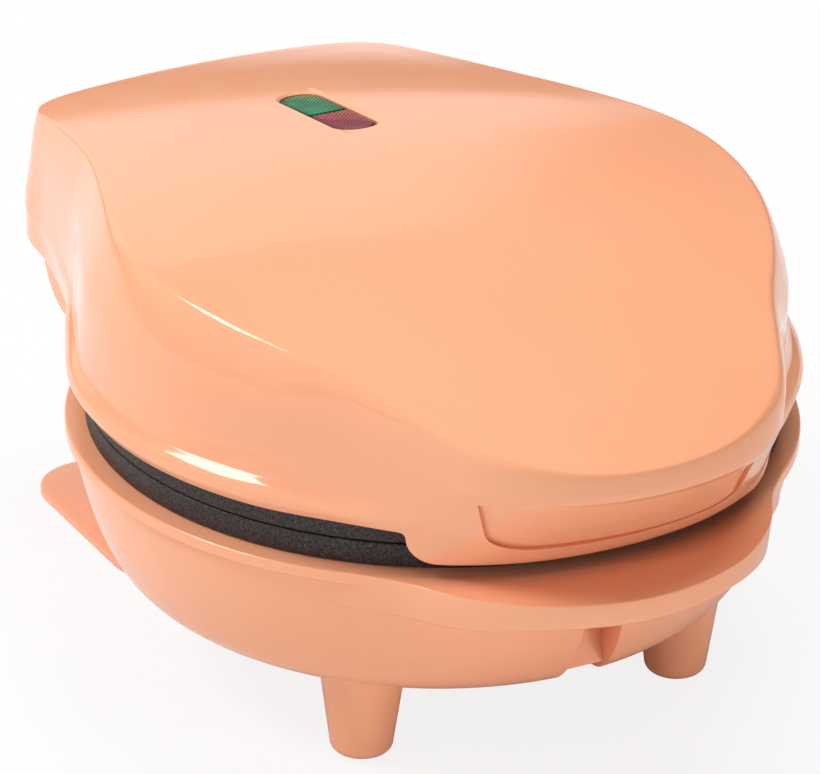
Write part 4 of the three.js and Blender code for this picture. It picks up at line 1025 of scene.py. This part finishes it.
def buildFoot():
    low, steps, corner = foot["proud"], foot["cornerSteps"], foot["columnCorner"]
    half, front, back = foot["columnHalfWidth"], foot["columnFrontY"], foot["columnBackY"]
    plate = softBlock(-foot["halfWidth"], foot["halfWidth"], foot["frontY"], foot["backY"],
                      low, low + foot["thickness"], foot["corner"], foot["edge"], steps)
    column = softBlock(-half, half, front, back, low + foot["columnLap"], foot["columnTopZ"],
                       corner, 0, steps)
    inset, gap = foot["wall"], foot["bowlGap"]
    room = softBlock(-half + inset, half - inset, front + inset, back - inset,
                     base["belowZ"], foot["roofZ"], corner - inset, 0, foot["roomSteps"])
    bowl = spun([(0, base["bowlBottomZ"] - gap)] + [(r + gap, z - gap) for r, z in bowlSide(0)]
                + [(0, base["rimZ"])], foot["bowlSteps"])
    sleeves, wells, holes = (
        twoCylinders(*foot[name], foot["holeSteps"], foot["screwX"], foot["screwY"])
        for name in ("sleeve", "well", "hole"))
    pads = twoCylinders(*foot["pad"], foot["holeSteps"], foot["padX"], foot["padY"])
    bm = cutBy(joinedTo(plate, [column]), [room])
    bm = cutBy(joinedTo(bm, sleeves), [bowl] + wells + holes + pads)
    finishPiece("rear_stand", bm, peach, "base", "rear_foot")


buildFoot()
print("foot built")

plate = {
    "radius": 86.1, "bodyRadius": 83.8, "thickness": 10, "splitZ": 68.35, "gap": 0.15,
    "lowerEdge": 5.9, "upperEdge": 5.2, "cavityRadius": 72, "cavityDepth": 5.6,
    "headroom": 2.3, "cell": 23, "rib": 5.4, "taper": 1.2, "edgeRound": 0.35, "steps": 180,
    "pegTaper": 0.7, "pegRoot": 0.5, "pegRound": 0.5, "fieldLean": 0.6, "fieldSteps": 120,
    "screwOrbit": 78, "screwHole": 4, "screwDepth": 3.2, "screwTop": 2, "screwSteps": 32,
    "lowerScrews": (90, 210, 330), "upperScrews": (270, 30, 150),
}


# A plate that faces up, with its face at z = 0. The screws' places are degrees about its middle.
def plateMesh(edgeHeight, screwTurns):
    thick, deep = plate["thickness"], plate["cavityDepth"]
    profile = [(0, -thick), (plate["bodyRadius"], -thick), (plate["bodyRadius"], -edgeHeight),
               (plate["radius"], -edgeHeight), (plate["radius"], 0), (plate["cavityRadius"], 0),
               (plate["cavityRadius"] - plate["taper"], -deep), (0, -deep)]
    bm = spun(profile, plate["steps"])
    bevelEdges(bm, sharpEdges(bm), plate["edgeRound"])
    wells = []
    for turn in map(math.radians, screwTurns):
        x, y = plate["screwOrbit"] * math.cos(turn), plate["screwOrbit"] * math.sin(turn)
        wells.append(cylinder(plate["screwHole"], -plate["screwDepth"], plate["screwTop"],
                              plate["screwSteps"], x, y))
    return beside(cutBy(bm, wells), [pegField()])


# The pegs between the pockets, cut round where they meet the plate's wall.
def pegField():
    reach = plate["cavityRadius"] - plate["rib"]
    half = (plate["cell"] - plate["rib"]) / 2
    rows = math.ceil(reach / plate["cell"])
    spots = [(i - rows + 0.5) * plate["cell"] for i in range(2 * rows)]
    low, high = -plate["cavityDepth"] - plate["pegRoot"], -plate["headroom"]
    shrink = 1 - plate["taper"] * plate["pegTaper"] / half
    bm = bmesh.new()
    for x in spots:
        for y in spots:
            if math.hypot(abs(x) - half, abs(y) - half) >= reach - plate["rib"]:
                continue
            peg = block(x - half, x + half, y - half, y + half, low, high)
            top = [v for v in peg.verts if v.co.z > low + 0.1]
            bmesh.ops.scale(peg, vec=(shrink, shrink, 1), verts=top,
                            space=Matrix.Translation((-x, -y, 0)))
            beside(bm, [outwards(peg)])
    field = spun([(0, low - 1), (reach, low - 1), (reach - plate["fieldLean"], 1), (0, 1)],
                 plate["fieldSteps"])
    bm = combined(bm, [field], "INTERSECT")
    bevelEdges(bm, sharpEdges(bm, 40), plate["pegRound"])
    return bm


# Each plate is a gap away from the split, and the upper one is turned over.
def buildPlate(side, body, turned):
    bm = plateMesh(plate[side + "Edge"], plate[side + "Screws"])
    z = plate["splitZ"] + (plate["gap"] if turned else -plate["gap"])
    if turned:
        over = Matrix.Rotation(math.pi, 3, "Y")
        bmesh.ops.rotate(bm, cent=(0, 0, 0), matrix=over, verts=bm.verts)
    bmesh.ops.translate(bm, vec=(0, 0, z), verts=bm.verts)
    finishPiece(f"{side}_plate", bm, coated, body, f"{side}_cooking_plate", 30)


buildPlate("lower", "base", False)
buildPlate("upper", "lid", True)
print("plates built")

# From here on, lengths are metres.
camera = {
    "place": (-0.63233, -1.13878, 0.69736), "right": (0.877908, -0.478536, 0.016786),
    "up": (0.196595, 0.392189, 0.898631), "back": (-0.436611, -0.785615, 0.438383),
    "lens": 254.8, "sensor": 36, "clip": (0.05, 50),
}
# The sides of the backdrop's band are (slope, range), and its foot and top are ranges of height.
studio = {
    "floorSize": 6, "floorTone": (0.8, 0.8, 0.8, 1), "floorWhite": 0.85, "floorGrain": (30, 2),
    "floorRoughness": (0.8, 0.1), "behindSlope": 1.2, "behindRange": (-0.1, 0.35),
    "nearRange": (3.2, 1.0),
    "fillLow": 0.03, "fillHigh": 0.3, "fillTowards": (-0.5, 0.6, 0.8), "fillRange": (-0.1, 1.0),
    "mirrorLow": 0.1, "mirrorHigh": 0.85, "leftRange": (-0.3, -0.75), "backdrop": 0.75,
    "bandLeft": (-0.72, (0.04, -0.12)), "bandRight": (0.36, (-0.04, 0.04)),
    "bandFoot": (0.08, 0.1), "bandTop": (0.64, 0.62), "horizon": 0.35, "horizonRange": (0.04, 0.1),
    "lampTarget": (0, 0, 0.06),
    "lamps": [
        # place, width, height, watts, shows in gloss
        ((-1.75, 0.82, 2.3), 1.1, 1.1, 54, True),
        ((-2.2, -0.7, 0.75), 1.4, 1.2, 13, False),
        ((0.8, -2.1, 0.3), 1.2, 0.5, 16, False),
        ((0.6, 0.3, 2.5), 1.6, 1.6, 39, False),
    ],
}


def buildCamera():
    data = bpy.data.cameras.new("camera")
    data.sensor_width = camera["sensor"]
    data.lens = camera["lens"]
    data.clip_start, data.clip_end = camera["clip"]
    made = newObject("camera", data)
    axes = Matrix((camera["right"], camera["up"], camera["back"])).transposed().to_4x4()
    made.matrix_world = Matrix.Translation(camera["place"]) @ axes
    bpy.context.scene.camera = made


# 1 for rays from the camera, and 1 for those from gloss and glass.
def rayKinds(shade):
    path = [shade.node("ShaderNodeLightPath", {}, {}, name)
            for name in ("Is Camera Ray", "Is Glossy Ray", "Is Transmission Ray")]
    return path[0], path[1].maths("MAXIMUM", path[1], path[2])


def buildFloor():
    bm = bmesh.new()
    bmesh.ops.create_grid(bm, x_segments=1, y_segments=1, size=studio["floorSize"])
    floor = asObject(bm, "floor")
    made, shader, shade, coords = startMaterial("floor_paper")
    least, more = studio["floorRoughness"]
    grain = shade.noise(coords, *studio["floorGrain"])
    shade.fill(shader, {"Base Color": studio["floorTone"], "Roughness": least + more * grain,
                        "Specular IOR Level": 0.0})
    seen, mirrored = rayKinds(shade)
    x, y = (shade.axis(coords, i) for i in (0, 1))
    behind = (y - studio["behindSlope"] * x).smooth(*studio["behindRange"])
    near = (x * x + y * y).smooth(*studio["nearRange"])
    white = seen * studio["floorWhite"] + mirrored * behind * near * studio["mirrorHigh"]
    glow = shade.node("ShaderNodeEmission", {}, {"Color": (1, 1, 1, 1), "Strength": 1.0})
    paper = Shade(shade.tree, shader.outputs[0])
    surface = shade.node("ShaderNodeMixShader", {}, {0: white, 1: paper, 2: glow})
    shade.fill(shade.tree.nodes["Material Output"], {"Surface": surface})
    floor.data.materials.append(made)


def buildLamps():
    for i, (place, width, height, watts, shows) in enumerate(studio["lamps"]):
        data = bpy.data.lights.new(f"lamp_{i}", "AREA")
        data.shape = "RECTANGLE"
        data.size, data.size_y = width, height
        data.energy = watts
        made = newObject(f"lamp_{i}", data)
        made.location = place
        towards = Vector(studio["lampTarget"]) - Vector(place)
        made.rotation_euler = towards.to_track_quat("-Z", "Y").to_euler()
        made.visible_camera = False
        made.visible_glossy = shows


# White to the camera; gloss sees a white left side and a white band behind, and less elsewhere.
def buildWorld():
    world = bpy.data.worlds.new("studio")
    bpy.context.scene.world = world
    world.use_nodes = True
    shade = Shade(world.node_tree)
    seen, mirrored = rayKinds(shade)
    towards = shade.node("ShaderNodeTexCoord", {}, {}, "Generated")
    x, y, z = (shade.axis(towards, i) for i in range(3))
    band = z.smooth(*studio["bandFoot"]) * z.smooth(*studio["bandTop"])
    for slope, ends in (studio["bandLeft"], studio["bandRight"]):
        band = band * (x + slope * y).smooth(*ends)
    low, high, horizon = studio["mirrorLow"], studio["mirrorHigh"], studio["horizon"]
    mirror = low + (high - low) * x.smooth(*studio["leftRange"]) + studio["backdrop"] * band
    mirror = mirror * (horizon + (1 - horizon) * abs(z).smooth(*studio["horizonRange"]))
    low, high, (a, b, c) = studio["fillLow"], studio["fillHigh"], studio["fillTowards"]
    fill = low + (high - low) * (c * z + b * y + a * x).smooth(*studio["fillRange"])
    level = seen + (1 - seen) * (mirrored * mirror + (1 - mirrored) * fill)
    shade.fill(shade.tree.nodes["Background"], {"Color": (1, 1, 1, 1), "Strength": level})


buildCamera()
buildFloor()
buildLamps()
buildWorld()
bpy.context.scene.view_settings.view_transform = "Standard"
print("studio built")
